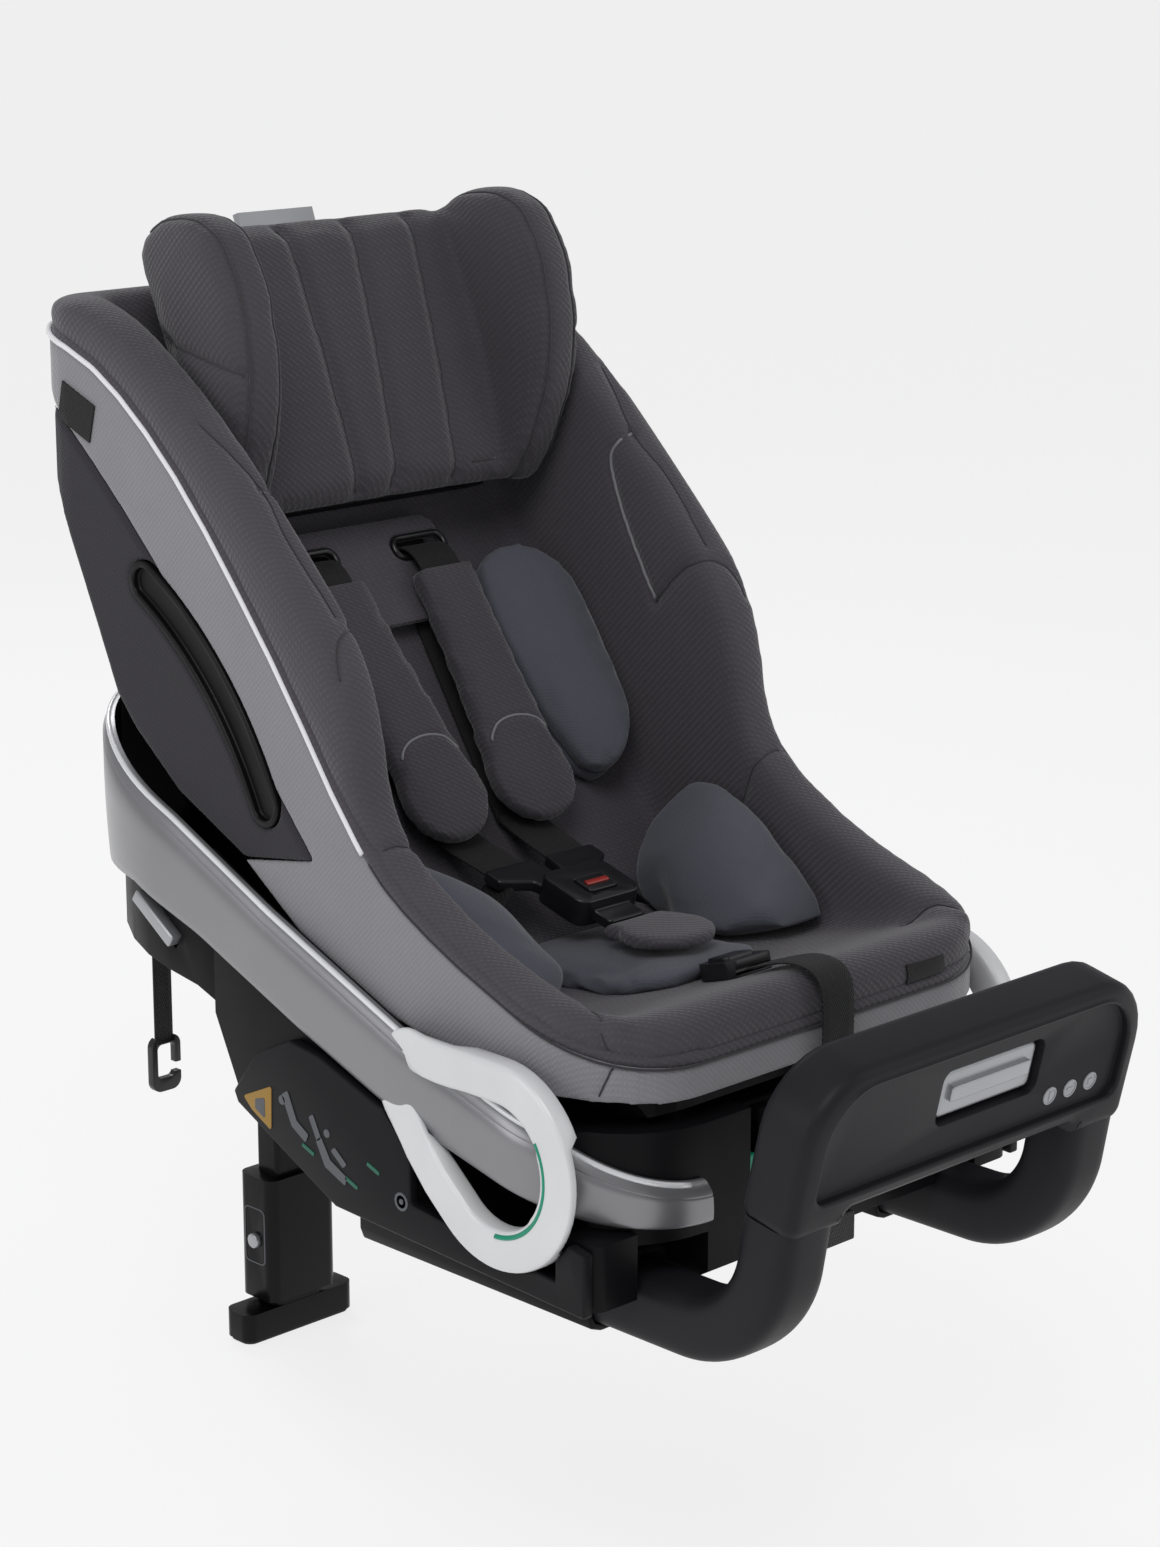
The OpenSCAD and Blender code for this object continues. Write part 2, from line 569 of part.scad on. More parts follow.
module buckle() color([0.05, 0.05, 0.06]) difference() {
    union() {
        buckle_frame() linear_extrude(20) { rounded(60, 46, 10); }
        buckle_frame() translate([0, -20, 4]) linear_extrude(8) rounded(34, 40, 4);
    }
    buckle_frame() translate([0, -4, 12]) linear_extrude(12) rounded(26.8, 18.8, 3.4);
}
module buckle_button() color("firebrick") buckle_frame() translate([0, -4, 16.4]) linear_extrude(5) rounded(26, 18, 3);
adjust_at = [0, -150, 214];
module adjust_frame() translate(adjust_at) rotate([-16, 0, 0]) children();
module harness_adjuster() color([0.07, 0.07, 0.08]) difference() {
    adjust_frame() linear_extrude(12) rounded(42, 34, 7);
    adjust_frame() translate([0, 3, 4]) linear_extrude(12) rounded(28.8, 20.8, 4.4);
    adjust_frame() translate([-17, -20, 2]) cube([34, 16, 4]);
}
module adjuster_button() color([0.12, 0.12, 0.13]) adjust_frame() translate([0, 3, 8.4])
    linear_extrude(6) rounded(28, 20, 4);

// Adjuster strap: middle line of the webbing as Y and Z pairs
pull = [[-172, 226], [-182, 230], [-194, 234.5], [-206, 238], [-218, 239], [-229, 237], [-236, 231],
    [-239, 222], [-240, 208], [-240, 192], [-240, 174], [-240, 156], [-240, 138], [-240, 120],
    [-240, 102], [-240, 84], [-240, 66]];
function normal(a, i) = let (p = a[max(i - 1, 0)], q = a[min(i + 1, len(a) - 1)], d = (q - p) / norm(q - p))
    [-d[1], d[0]];
function ribbon(a, t) = concat([for (i = [0:len(a) - 1]) a[i] + normal(a, i) * t / 2],
    [for (i = [len(a) - 1:-1:0]) a[i] - normal(a, i) * t / 2]);
module adjuster_strap() color([0.06, 0.06, 0.07]) along_x(-pull_w / 2, pull_w / 2, ribbon(pull, 2));
module strap_end() color([0.04, 0.04, 0.05]) translate([-pull_w / 2 - 2, -243, 48]) difference() {
    cube([pull_w + 4, 6, 20]);
    translate([1.8, 1.9, 18]) cube([pull_w + 0.4, 2.2, 3]);
}

// ---- Headrest ----
wing_side = [[2, -8], [0, 10], [20, 34], [56, 64], [98, 85], [150, 93], [190, 85], [212, 63], [222, 30],
    [219, 4], [204, -11], [100, -12]];
function to_world(a, o, t) = [for (p = a) o + p[0] * [cos(t), sin(t)] + p[1] * [-sin(t), cos(t)]];
module headrest_core() color([0.13, 0.13, 0.14]) difference() {
    along_x(-head_half_w + wing_t + 1, head_half_w - wing_t - 1, to_world([[8, -32], [8, -14],
        [head_h - 4, -14], [head_h + 3, -22], [head_h - 4, -33]], head_o, head_angle));
    on_head(head_h - 26, -40) linear_extrude(30) rounded(70.6, 20.6, 6.3);
}
module headrest_wings() color(fabric) both()
    along_x(head_half_w - wing_t, head_half_w, to_world(wing_side, head_o, head_angle));
module headrest_cushion() color([0.3, 0.29, 0.3])
    along_x(-head_half_w + wing_t + 1, head_half_w - wing_t - 1, to_world([[2, -12], [0, 4], [20, 9],
        [110, 11], [head_h - 10, 8], [head_h + 8, -2], [head_h + 6, -12]], head_o, head_angle));
module headrest_handle() color("lightgray") on_head(head_h - 26, -40) {
    linear_extrude(18) rounded(70, 20, 6);
    translate([-35, 0, -2]) cube([70, 42, 6]);
}
module harness_yoke() color(fabric) difference() {
    on_back(116, 9) linear_extrude(8) rounded(156, 84, 16);
    for (x = [-slot_x, slot_x]) on_back(132, 0) translate([x, 0, 8]) linear_extrude(20) rounded(46, 14, 6);
}
module shoulder_pads() color(fabric) both() on_back(0, 20) linear_extrude(14) {
    translate([42.5, -62]) circle(38);
    polygon([[8, -45], [77, -45], [slot_x + 27, 108], [slot_x - 27, 108]]);
}

base_tray();
head_housing();
recline_rails();
side_plate(-1);  // side_plate_left
side_plate(1);  // side_plate_right
silver_band();
belt_ring(-1);  // belt_ring_left
belt_ring(1);  // belt_ring_right
ring_inlays();
belt_guides();
arm_sleeves();
leg_bracket();
leg_pivot_pin();
base_screws();
recline_handle();
strap_release(-1);  // strap_release_left
strap_release(1);  // strap_release_right
tether_strap(-1);  // tether_strap_left
tether_strap(1);  // tether_strap_right
tether_hook(-1);  // tether_hook_left
tether_hook(1);  // tether_hook_right
leg_tube();
leg_button();
leg_inner_tube();
leg_foot();
foot_sole();
rebound_arm(-1);  // rebound_arm_left
rebound_arm(1);  // rebound_arm_right
rebound_panel();
panel_face();
release_handle();
icon_discs();
shell();
shell_runners();
side_cover(-1);  // side_cover_left
side_cover(1);  // side_cover_right
vent_trims();
silver_cover();
rim_cushion();
seat_liner();
lumbar_pad(-1);  // lumbar_pad_left
lumbar_pad(1);  // lumbar_pad_right
hip_pad(-1);  // hip_pad_left
hip_pad(1);  // hip_pad_right
seat_insert();
shoulder_straps();
hip_straps();
crotch_pad();
buckle();
buckle_button();
harness_adjuster();
adjuster_button();
adjuster_strap();
strap_end();
headrest_core();
headrest_wings();
headrest_cushion();
headrest_handle();
harness_yoke();
shoulder_pads();
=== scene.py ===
"""Looks of the child car seat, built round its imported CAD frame. Lengths are in metres.

-X is the seen side, -Y the foot end with the rebound bar, +Y the head end, +Z up.
"""

import json
import math

import bmesh
import bpy
import numpy as np
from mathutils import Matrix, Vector
from mathutils.bvhtree import BVHTree


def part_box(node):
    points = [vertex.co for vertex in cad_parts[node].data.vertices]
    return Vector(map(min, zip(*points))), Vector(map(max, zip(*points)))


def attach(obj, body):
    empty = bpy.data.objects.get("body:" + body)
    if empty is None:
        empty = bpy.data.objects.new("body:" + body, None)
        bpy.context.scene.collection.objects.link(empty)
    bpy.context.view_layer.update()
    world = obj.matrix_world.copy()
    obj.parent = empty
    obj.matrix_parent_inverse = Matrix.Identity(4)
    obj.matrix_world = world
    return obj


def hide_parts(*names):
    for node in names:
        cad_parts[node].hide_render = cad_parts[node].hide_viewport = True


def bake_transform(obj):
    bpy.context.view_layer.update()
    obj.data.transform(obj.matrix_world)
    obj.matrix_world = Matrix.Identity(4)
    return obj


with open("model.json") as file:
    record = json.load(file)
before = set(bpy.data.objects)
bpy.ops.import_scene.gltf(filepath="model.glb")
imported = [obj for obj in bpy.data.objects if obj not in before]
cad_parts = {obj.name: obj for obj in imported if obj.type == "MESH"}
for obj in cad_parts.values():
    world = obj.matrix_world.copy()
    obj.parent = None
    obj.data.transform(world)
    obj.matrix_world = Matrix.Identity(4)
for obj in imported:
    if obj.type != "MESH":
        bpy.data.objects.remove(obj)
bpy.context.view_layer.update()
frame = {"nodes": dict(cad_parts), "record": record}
MM = 0.001
# Each side's sign in x, and the sign that mirrors a shape drawn on the left to it
SIDES = (("left", -1), ("right", 1))
FROM_LEFT = (("left", 1), ("right", -1))

# ---- Camera, floor and light ----

CAMERA_PLACE = (-1.6825, -1.7122, 0.946)
CAMERA_TURN = (math.radians(75.5), 0, math.radians(-44.5))
LENS, SENSOR = 83.78, 36
SEAT_MIDDLE = (0, 0, 0.3)
# Place, diameter and power of each lamp
LAMPS = {
    "key": ((-1.6, -1.2, 2.6), 1.5, 30),
    "side": ((-2.8, 0.6, 1.2), 1.4, 13),
    "fill": ((1.8, -2.2, 1.6), 2.0, 10),
    "rim": ((0.8, 2.4, 2.2), 1.2, 20),
}
SKY_COLOR, SKY_STRENGTH = (0.97, 0.97, 1.0, 1), 0.42
FLOOR_HALF, FLOOR_GAP = 40, 0.5 * MM
FLOOR_GREY, FLOOR_SPREAD, FLOOR_GLOW = 0.18, 0.002, 0.79


def add_object(name, data):
    obj = bpy.data.objects.new(name, data)
    bpy.context.scene.collection.objects.link(obj)
    return obj


def make_camera():
    data = bpy.data.cameras.new("camera")
    data.lens = LENS
    data.sensor_width = SENSOR
    camera = add_object("camera", data)
    camera.location = CAMERA_PLACE
    camera.rotation_euler = CAMERA_TURN
    bpy.context.scene.camera = camera


def make_studio():
    scene = bpy.context.scene
    scene.view_settings.view_transform = "Standard"
    scene.view_settings.look = "None"
    world = bpy.data.worlds.new("studio")
    world.use_nodes = True
    back = world.node_tree.nodes["Background"]
    back.inputs["Color"].default_value = SKY_COLOR
    back.inputs["Strength"].default_value = SKY_STRENGTH
    scene.world = world
    for name, (place, size, power) in LAMPS.items():
        data = bpy.data.lights.new(name, "AREA")
        data.shape, data.size, data.energy = "DISK", size, power
        lamp = add_object(name, data)
        lamp.location = place
        lamp.rotation_euler = (Vector(SEAT_MIDDLE) - Vector(place)).to_track_quat("-Z", "Y").to_euler()
    floor_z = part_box("foot_sole")[0].z - FLOOR_GAP
    corners = [(x * FLOOR_HALF, y * FLOOR_HALF, floor_z) for x, y in ((-1, -1), (1, -1), (1, 1), (-1, 1))]
    floor = mesh_object("floor", corners, [(0, 1, 2, 3)])
    pale = Shade("floor_paper", [FLOOR_GREY] * 3, 0.9, Specular_IOR_Level=0.0, Emission_Color=(1.0, 1.0, 1.0, 1),
                 Emission_Strength=FLOOR_GLOW)
    pale.vary(pale.noise(3.0), [FLOOR_GREY - FLOOR_SPREAD] * 3, [FLOOR_GREY + FLOOR_SPREAD] * 3)
    floor.data.materials.append(pale.mat)


# ---- Materials ----


class Shade:
    """A procedural material that is built step by step."""

    def __init__(self, name, color, rough, **sockets):
        self.mat = bpy.data.materials.new(name)
        self.mat.use_nodes = True
        self.nodes = self.mat.node_tree.nodes
        self.shader = self.nodes["Principled BSDF"].inputs
        self.fill(self.shader, Base_Color=(*color, 1), Roughness=rough, **sockets)
        self.coord = self.nodes.new("ShaderNodeTexCoord").outputs["Object"]

    def put(self, socket, value):
        """Sets a socket to a value, or links another node's output to it."""
        if isinstance(value, bpy.types.NodeSocket):
            self.mat.node_tree.links.new(value, socket)
        else:
            socket.default_value = value

    def fill(self, sockets, **values):
        for key, value in values.items():
            self.put(sockets[key.replace("_", " ")], value)

    def step(self, kind, result, settings=None, **values):
        """The named output of a new node, with its inputs filled."""
        node = self.nodes.new("ShaderNode" + kind)
        for key, value in (settings or {}).items():
            setattr(node, key, value)
        self.fill(node.inputs, **values)
        return node.outputs[result]

    def math(self, operation, a, b=0.0, kind="Math"):
        node = self.nodes.new("ShaderNode" + kind)
        node.operation = operation
        self.put(node.inputs[0], a)
        self.put(node.inputs[1], b)
        return node.outputs["Value"]

    def wave(self, direction, period):
        """Stripes from 0 to 1 across a direction, with that period in millimetres."""
        unit = Vector(direction).normalized() * (2 * math.pi / (period * MM))
        phase = self.math("DOT_PRODUCT", self.coord, unit, "VectorMath")
        return self.math("MULTIPLY_ADD", self.math("SINE", phase), 0.5)

    def noise(self, scale, detail=3.0):
        return self.step("TexNoise", "Fac", Scale=scale, Detail=detail, Vector=self.coord)

    def vary(self, value, dark, light):
        """Colour between dark and light by a 0 to 1 value."""
        mix = self.step("Mix", "Result", {"data_type": "RGBA"}, Factor=value, A=(*dark, 1), B=(*light, 1))
        self.fill(self.shader, Base_Color=mix)

    def rough(self, value, low, high):
        """Roughness between low and high by a 0 to 1 value."""
        self.fill(self.shader, Roughness=self.step("MapRange", "Result", Value=value, To_Min=low, To_Max=high))

    def bump(self, height, distance, strength=1.0):
        normal = self.step("Bump", "Normal", Strength=strength, Distance=distance, Height=height)
        self.fill(self.shader, Normal=normal)


def tint(color, factor):
    return tuple(c * factor for c in color)


def fabric(name, color, period=3.4, relief=0.5, contrast=0.22, sheen=0.25):
    """Woven cloth: three crossed sets of threads, so that a weave shows on faces of any direction."""
    cloth = Shade(name, color, 0.88, Sheen_Weight=sheen, Sheen_Roughness=0.45)
    along, across, third = (cloth.wave(way, period) for way in ((1, 1, 1), (-1, 1, 1), (1, -1, 1)))
    threads = cloth.math("ADD", cloth.math("MULTIPLY", along, across), cloth.math("MULTIPLY", along, third))
    threads = cloth.math("MULTIPLY", threads, 0.5)
    fuzz = cloth.noise(1400, 2)
    cloudy = cloth.noise(28, 3)
    height = cloth.math("ADD", threads, cloth.math("MULTIPLY", fuzz, 0.5))
    mixed = cloth.math("ADD", cloth.math("MULTIPLY", threads, 0.6), cloth.math("MULTIPLY", cloudy, 0.4))
    cloth.vary(mixed, tint(color, 1 - contrast), tint(color, 1 + contrast))
    cloth.rough(fuzz, 0.8, 0.95)
    cloth.bump(height, relief * MM)
    return cloth.mat


def webbing(name, color, period=1.6):
    strap = Shade(name, color, 0.62, Sheen_Weight=0.06, Specular_IOR_Level=0.3)
    ribs = strap.math("MULTIPLY", strap.wave((1, 0.35, 0.5), period), strap.wave((-1, 0.35, 0.5), period))
    strap.vary(ribs, tint(color, 0.7), tint(color, 1.5))
    strap.rough(strap.noise(300), 0.5, 0.7)
    strap.bump(ribs, 0.4 * MM)
    return strap.mat


def moulded(name, color, rough=0.5, grain=0.12, grain_scale=1500, shine=0.5, **sockets):
    """Moulded plastic with a fine texture and slight wear."""
    plastic = Shade(name, color, rough, Specular_IOR_Level=shine, **sockets)
    fine = plastic.noise(grain_scale, 2)
    wear = plastic.noise(14, 6)
    plastic.vary(wear, tint(color, 0.9), tint(color, 1.12))
    plastic.rough(wear, rough - 0.06, rough + 0.08)
    plastic.bump(fine, grain * MM, 0.5)
    return plastic.mat


def metal(name, color, rough=0.35):
    steel = Shade(name, color, rough, Metallic=1.0)
    brushed = steel.wave((0.1, 0.2, 1), 0.7)
    steel.rough(steel.math("MULTIPLY", brushed, steel.noise(60)), rough - 0.08, rough + 0.16)
    steel.vary(steel.noise(25), tint(color, 0.9), tint(color, 1.08))
    steel.bump(steel.noise(700), 0.05 * MM, 0.4)
    return steel.mat


DARK_CLOTH = (0.06, 0.054, 0.064)
SLATE_CLOTH = (0.076, 0.08, 0.1)
SILVER_CLOTH = (0.225, 0.222, 0.238)
BLACK = (0.008, 0.008, 0.009)

SILVER_COAT = {"Metallic": 0.6, "Coat_Weight": 0.25, "Coat_Roughness": 0.25}

SLOTS = (
    moulded("base_plastic", (0.005, 0.005, 0.006), 0.4, shine=0.1),
    metal("steel", (0.42, 0.43, 0.45)),
    moulded("plate_plastic", (0.008, 0.008, 0.0095), 0.42, shine=0.14),
    moulded("silver_plastic", (0.37, 0.375, 0.39), 0.3, 0.04, 2400, **SILVER_COAT),
    moulded("ring_white", (0.66, 0.665, 0.675), 0.3, 0.03, 2400, Coat_Weight=0.2),
    moulded("green_plastic", (0.0, 0.25, 0.14), 0.38),
    moulded("handle_plastic", (0.009, 0.009, 0.01), 0.45, shine=0.16),
    webbing("webbing", BLACK),
    webbing("strap_tip", (0.024, 0.024, 0.026), 2.2),
    moulded("hook_metal", (0.02, 0.02, 0.022), 0.3, 0.05, 900, Metallic=0.3),
    moulded("leg_plastic", (0.003, 0.003, 0.0035), 0.22, 0.03, 1200, shine=0.16),
    metal("leg_inner", (0.5, 0.51, 0.53), 0.3),
    moulded("sole_rubber", (0.015, 0.015, 0.016), 0.8, 0.3, 700),
    moulded("bar_plastic", (0.0125, 0.012, 0.0145), 0.46, 0.14, 1700, shine=0.17),
    moulded("icon_grey", (0.36, 0.365, 0.38), 0.5),
    fabric("side_fabric", (0.0185, 0.016, 0.0215), 2.2, 0.3, 0.18, 0.12),
    moulded("trim_black", (0.003, 0.003, 0.0035), 0.36, shine=0.18),
    fabric("silver_fabric", SILVER_CLOTH, 2.4, 0.35, 0.16, 0.35),
    fabric("seat_fabric", DARK_CLOTH),
    fabric("insert_fabric", SLATE_CLOTH, 1.8, 0.2, 0.1),
    moulded("buckle_black", (0.01, 0.01, 0.0115), 0.28, 0.04, 1500, shine=0.35, Coat_Weight=0.1),
    moulded("button_red", (0.3, 0.02, 0.012), 0.3, 0.03, 1500, Coat_Weight=0.4),
)
MATERIALS = {material.name.partition(".")[0]: material for material in SLOTS}
PIPING_WHITE = fabric("piping_white", (0.8, 0.8, 0.82), 1.4, 0.15, 0.08)
PIPING_GREY = fabric("piping_grey", (0.2, 0.2, 0.21), 1.4, 0.15, 0.1)
HEAD_CLOTH = fabric("headrest_fabric", tint(DARK_CLOTH, 0.8))
THREAD = fabric("seam_thread", (0.028, 0.026, 0.03), 1.0, 0.1, 0.1)
# A darker copy of silver_plastic for the band: painted shade over the band's face, below its painted highlight
BAND_SILVER_SHADED = moulded("band_silver_painted_shade", (0.235, 0.235, 0.246), 0.3, 0.04, 2400, **SILVER_COAT)
# Near-white plastic for the band's lip: a painted highlight along the band's top edge
BAND_LIP_HIGHLIGHT = moulded("band_lip", (0.74, 0.745, 0.76), 0.25, 0.03, 2400, Metallic=0.2, Coat_Weight=0.4)
TAG = webbing("woven_tag", (0.005, 0.005, 0.0055), 1.1)
AMBER = moulded("amber_label", (0.3, 0.17, 0.025), 0.5)
PICTURE = moulded("picture_print", (0.1, 0.105, 0.115), 0.5, shine=0.25)
PRINT_GREEN = moulded("print_green", (0.008, 0.11, 0.065), 0.5)

# ---- Mesh tools ----

WELD = 0.01 * MM
FLAT_ANGLE, EDGE_ANGLE = math.radians(1), math.radians(30)
# Edges sharper than these angles stay crisp: on moulded parts, the panel, webbing and bars
SHARP, SHARP_PANEL, SHARP_CLOTH, SHARP_BAR = 40, 35, 50, 60
CLOTH_FRAMES, CLOTH_QUALITY = 20, 4


def mesh_object(name, points, faces):
    mesh = bpy.data.meshes.new(name)
    mesh.from_pydata([tuple(p) for p in points], [], faces)
    mesh.update()
    return add_object(name, mesh)


def settle(obj):
    """Turns the object's modifiers into its mesh."""
    graph = bpy.context.evaluated_depsgraph_get()
    mesh = bpy.data.meshes.new_from_object(obj.evaluated_get(graph))
    obj.modifiers.clear()
    obj.data = mesh


def modify(obj, kind, **settings):
    modifier = obj.modifiers.new(kind.lower(), kind)
    for key, value in settings.items():
        setattr(modifier, key, value)
    settle(obj)


def coords(obj):
    flat = np.zeros(len(obj.data.vertices) * 3, np.float32)
    obj.data.vertices.foreach_get("co", flat)
    return flat.reshape(-1, 3).astype(float)


def set_coords(obj, places):
    obj.data.vertices.foreach_set("co", places.astype(np.float32).ravel())
    obj.data.update()


def fused_copy(name, nodes):
    """A new object with the meshes of CAD nodes, with their split corners joined again."""
    shape = bmesh.new()
    for node in nodes:
        shape.from_mesh(frame["nodes"][node].data)
    bmesh.ops.remove_doubles(shape, verts=shape.verts, dist=WELD)
    obj = mesh_object(name, [], [])
    shape.to_mesh(obj.data)
    shape.free()
    return obj


def reshape(obj, change):
    """Runs a change on the object's mesh, as a bmesh."""
    shape = bmesh.new()
    shape.from_mesh(obj.data)
    change(shape)
    shape.to_mesh(obj.data)
    shape.free()


def turned_out(obj):
    """Turns all faces outwards."""
    reshape(obj, lambda shape: bmesh.ops.recalc_face_normals(shape, faces=shape.faces))


def finish_piece(obj, body, slot, material=None, nodes=(), sharp=None):
    obj.data.materials.clear()
    obj.data.materials.append(material or MATERIALS[slot])
    obj.data.polygons.foreach_set("use_smooth", [True] * len(obj.data.polygons))
    if sharp is not None:
        obj.data.set_sharp_from_angle(angle=math.radians(sharp))
    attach(obj, body)
    if nodes:
        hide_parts(*nodes)
    return obj


def inflate(obj, pressure, cap):
    """Cloth simulation that swells a closed pad; no point moves further than cap."""
    before = coords(obj)
    cloth = obj.modifiers.new("cloth", "CLOTH")
    cloth.settings.quality = CLOTH_QUALITY
    cloth.settings.use_pressure = True
    cloth.settings.uniform_pressure_force = pressure
    cloth.settings.effector_weights.gravity = 0
    cloth.point_cache.frame_end = CLOTH_FRAMES
    for step in range(1, CLOTH_FRAMES + 1):
        bpy.context.scene.frame_set(step)
    settle(obj)
    bpy.context.scene.frame_set(1)
    move = coords(obj) - before
    length = np.maximum(np.linalg.norm(move, axis=1, keepdims=True), 1e-9)
    cap = cap * MM
    set_coords(obj, before + move / length * (cap * np.tanh(length / cap)))


def soft(name, nodes, body, slot, voxel=5, relax=8, swell=None, fine=True, fill=0.6, slim=0.0):
    """A padded piece in the space of its CAD solids, crowned if it has swell. Its sizes are in millimetres."""
    obj = fused_copy(name, nodes)
    modify(obj, "REMESH", mode="VOXEL", voxel_size=voxel * MM)
    if slim:
        modify(obj, "DISPLACE", strength=-slim * MM, mid_level=0)
    modify(obj, "SMOOTH", factor=0.5, iterations=relax)
    if swell:
        inflate(obj, *swell)
        modify(obj, "SMOOTH", factor=0.5, iterations=2)
    if fine:
        modify(obj, "SUBSURF", levels=1, render_levels=1)
    finish_piece(obj, body, slot, nodes=nodes)
    return obj


def eased(name, node, body, slot, width, segments=3):
    """A hard CAD node with its edges rounded over, by a width in millimetres."""
    obj = fused_copy(name, [node])
    reshape(obj, lambda shape: bmesh.ops.dissolve_limit(shape, angle_limit=FLAT_ANGLE, verts=shape.verts,
                                                        edges=shape.edges))
    modify(obj, "BEVEL", width=width * MM, segments=segments, limit_method="ANGLE", angle_limit=EDGE_ANGLE,
           use_clamp_overlap=True)
    return finish_piece(obj, body, slot, nodes=[node], sharp=SHARP)


def between(a, b, c, d, t):
    """A point from b to c on a smooth curve through a, b, c and d."""
    return 0.5 * (2 * b + (c - a) * t + (2 * a - 5 * b + 4 * c - d) * t * t + (3 * b - a - 3 * c + d) * t ** 3)


def smooth_path(points, step=4 * MM):
    """Points along a smooth curve through the given ones, about a step apart."""
    pts = [Vector(p) for p in points]
    ends = [2 * pts[0] - pts[1], *pts, 2 * pts[-1] - pts[-2]]
    path = []
    for a, b, c, d in zip(ends, ends[1:], ends[2:], ends[3:]):
        count = max(1, round((c - b).length / step))
        path += [between(a, b, c, d, i / count) for i in range(count)]
    return path + [pts[-1]]


def tube_faces(count, n, closed=False):
    """Faces between rings that follow each other, count rings of n points."""
    faces = []
    for i in range(count if closed else count - 1):
        j = (i + 1) % count
        faces += [(i * n + k, i * n + (k + 1) % n, j * n + (k + 1) % n, j * n + k) for k in range(n)]
    return faces


def sweep(name, path, section, side=None, closed=False):
    """A solid along a path. A section point (a, b) lies a along the side direction and b along the third one."""
    path = [Vector(p) for p in path]
    count = len(path)
    across = Vector(side) if side else None
    points = []
    for i, p in enumerate(path):
        ahead = path[(i + 1) % count] if closed else path[min(i + 1, count - 1)]
        behind = path[i - 1] if closed else path[max(i - 1, 0)]
        along = (ahead - behind).normalized()
        if across is None:
            across = along.orthogonal()
        fixed = Vector(side) if side else across
        across = (fixed - along * fixed.dot(along)).normalized()
        third = along.cross(across)
        points += [p + across * a + third * b for a, b in section]
    n = len(section)
    faces = tube_faces(count, n, closed)
    if not closed:
        faces += [tuple(reversed(range(n))), tuple((count - 1) * n + k for k in range(n))]
    return mesh_object(name, points, faces)


def strand(name, path, section, body, slot, material=None, nodes=(), sharp=None, **way):
    """A sweep as a finished piece."""
    return finish_piece(sweep(name, path, section, **way), body, slot, material, nodes, sharp)


def rounded_section(width, height, power=4, sides=32):
    """A rounded rectangle as a superellipse."""
    out = []
    for k in range(sides):
        c, s = math.cos(2 * math.pi * k / sides), math.sin(2 * math.pi * k / sides)
        out.append((width / 2 * math.copysign(abs(c) ** (2 / power), c),
                    height / 2 * math.copysign(abs(s) ** (2 / power), s)))
    return out


def ring_section(radius, sides=8):
    return rounded_section(2 * radius, 2 * radius, 2, sides)


def lay_on(surface, path, lift=0.0):
    """The path's points moved onto a surface."""
    tree = BVHTree.FromObject(surface, bpy.context.evaluated_depsgraph_get())
    world = surface.matrix_world
    back = world.inverted()
    laid = []
    for p in path:
        place, normal, _, _ = tree.find_nearest(back @ Vector(p))
        laid.append(world @ (place + normal * lift))
    return laid


def press_in(obj, path, width, depth):
    """Pushes the surface in along a path, as a seam pulls it in."""
    places = coords(obj)
    line = np.array([tuple(p) for p in path])
    near = np.all((places > line.min(0) - 3 * width) & (places < line.max(0) + 3 * width), axis=1)
    chosen = np.where(near)[0]
    if not len(chosen):
        return
    best = np.full(len(chosen), 1e9)
    for a, b in zip(line, line[1:]):
        run = b - a
        t = np.clip((places[chosen] - a) @ run / max(run @ run, 1e-12), 0, 1)
        best = np.minimum(best, np.linalg.norm(places[chosen] - a - t[:, None] * run, axis=1))
    normals = np.zeros(len(obj.data.vertices) * 3, np.float32)
    obj.data.vertex_normals.foreach_get("vector", normals)
    push = depth * np.exp(-(best / width) ** 2)
    places[chosen] -= normals.reshape(-1, 3)[chosen] * push[:, None]
    set_coords(obj, places)


def seam(name, surface, points, body="seat", slot="seat_fabric", material=None, radius=0.7, width=4.5, depth=2.2):
    """A seam: the cloth pulled in, with a thread or piping in it. Its sizes are in millimetres."""
    path = lay_on(surface, smooth_path(points))
    press_in(surface, path, width * MM, depth * MM)
    path = lay_on(surface, path, radius * MM * 0.35)
    return strand(name, path, ring_section(radius * MM), body, slot, material or THREAD)


# ---- Hard parts: outlines stacked into solids with rounded edges ----


def rounded_outline(points, radii, steps=8):
    """A closed outline with its corners rounded. They may turn either way."""
    out = []
    count = len(points)
    for i, (point, radius) in enumerate(zip(points, radii)):
        p = Vector(point)
        a = (Vector(points[i - 1]) - p).normalized()
        b = (Vector(points[(i + 1) % count]) - p).normalized()
        half = math.acos(max(-1, min(1, a.dot(b)))) / 2
        reach = radius / math.tan(half)
        centre = p + (a + b).normalized() * radius / math.sin(half)
        start, end = p + a * reach - centre, p + b * reach - centre
        turn = math.atan2(start.x * end.y - start.y * end.x, start.dot(end))
        for k in range(steps + 1):
            t = turn * k / steps
            out.append(centre + Vector((start.x * math.cos(t) - start.y * math.sin(t),
                                        start.x * math.sin(t) + start.y * math.cos(t))))
    return out


def box_outline(width, height, radius, x=0.0, y=0.0):
    w, h = width / 2, height / 2
    return rounded_outline([(x - w, y - h), (x + w, y - h), (x + w, y + h), (x - w, y + h)], [radius] * 4)


def inset(outline, distance):
    """The outline, given anticlockwise, moved inwards."""
    out = []
    count = len(outline)
    for i, p in enumerate(outline):
        run = outline[(i + 1) % count] - outline[i - 1]
        out.append(p + Vector((-run.y, run.x)).normalized() * distance)
    return out


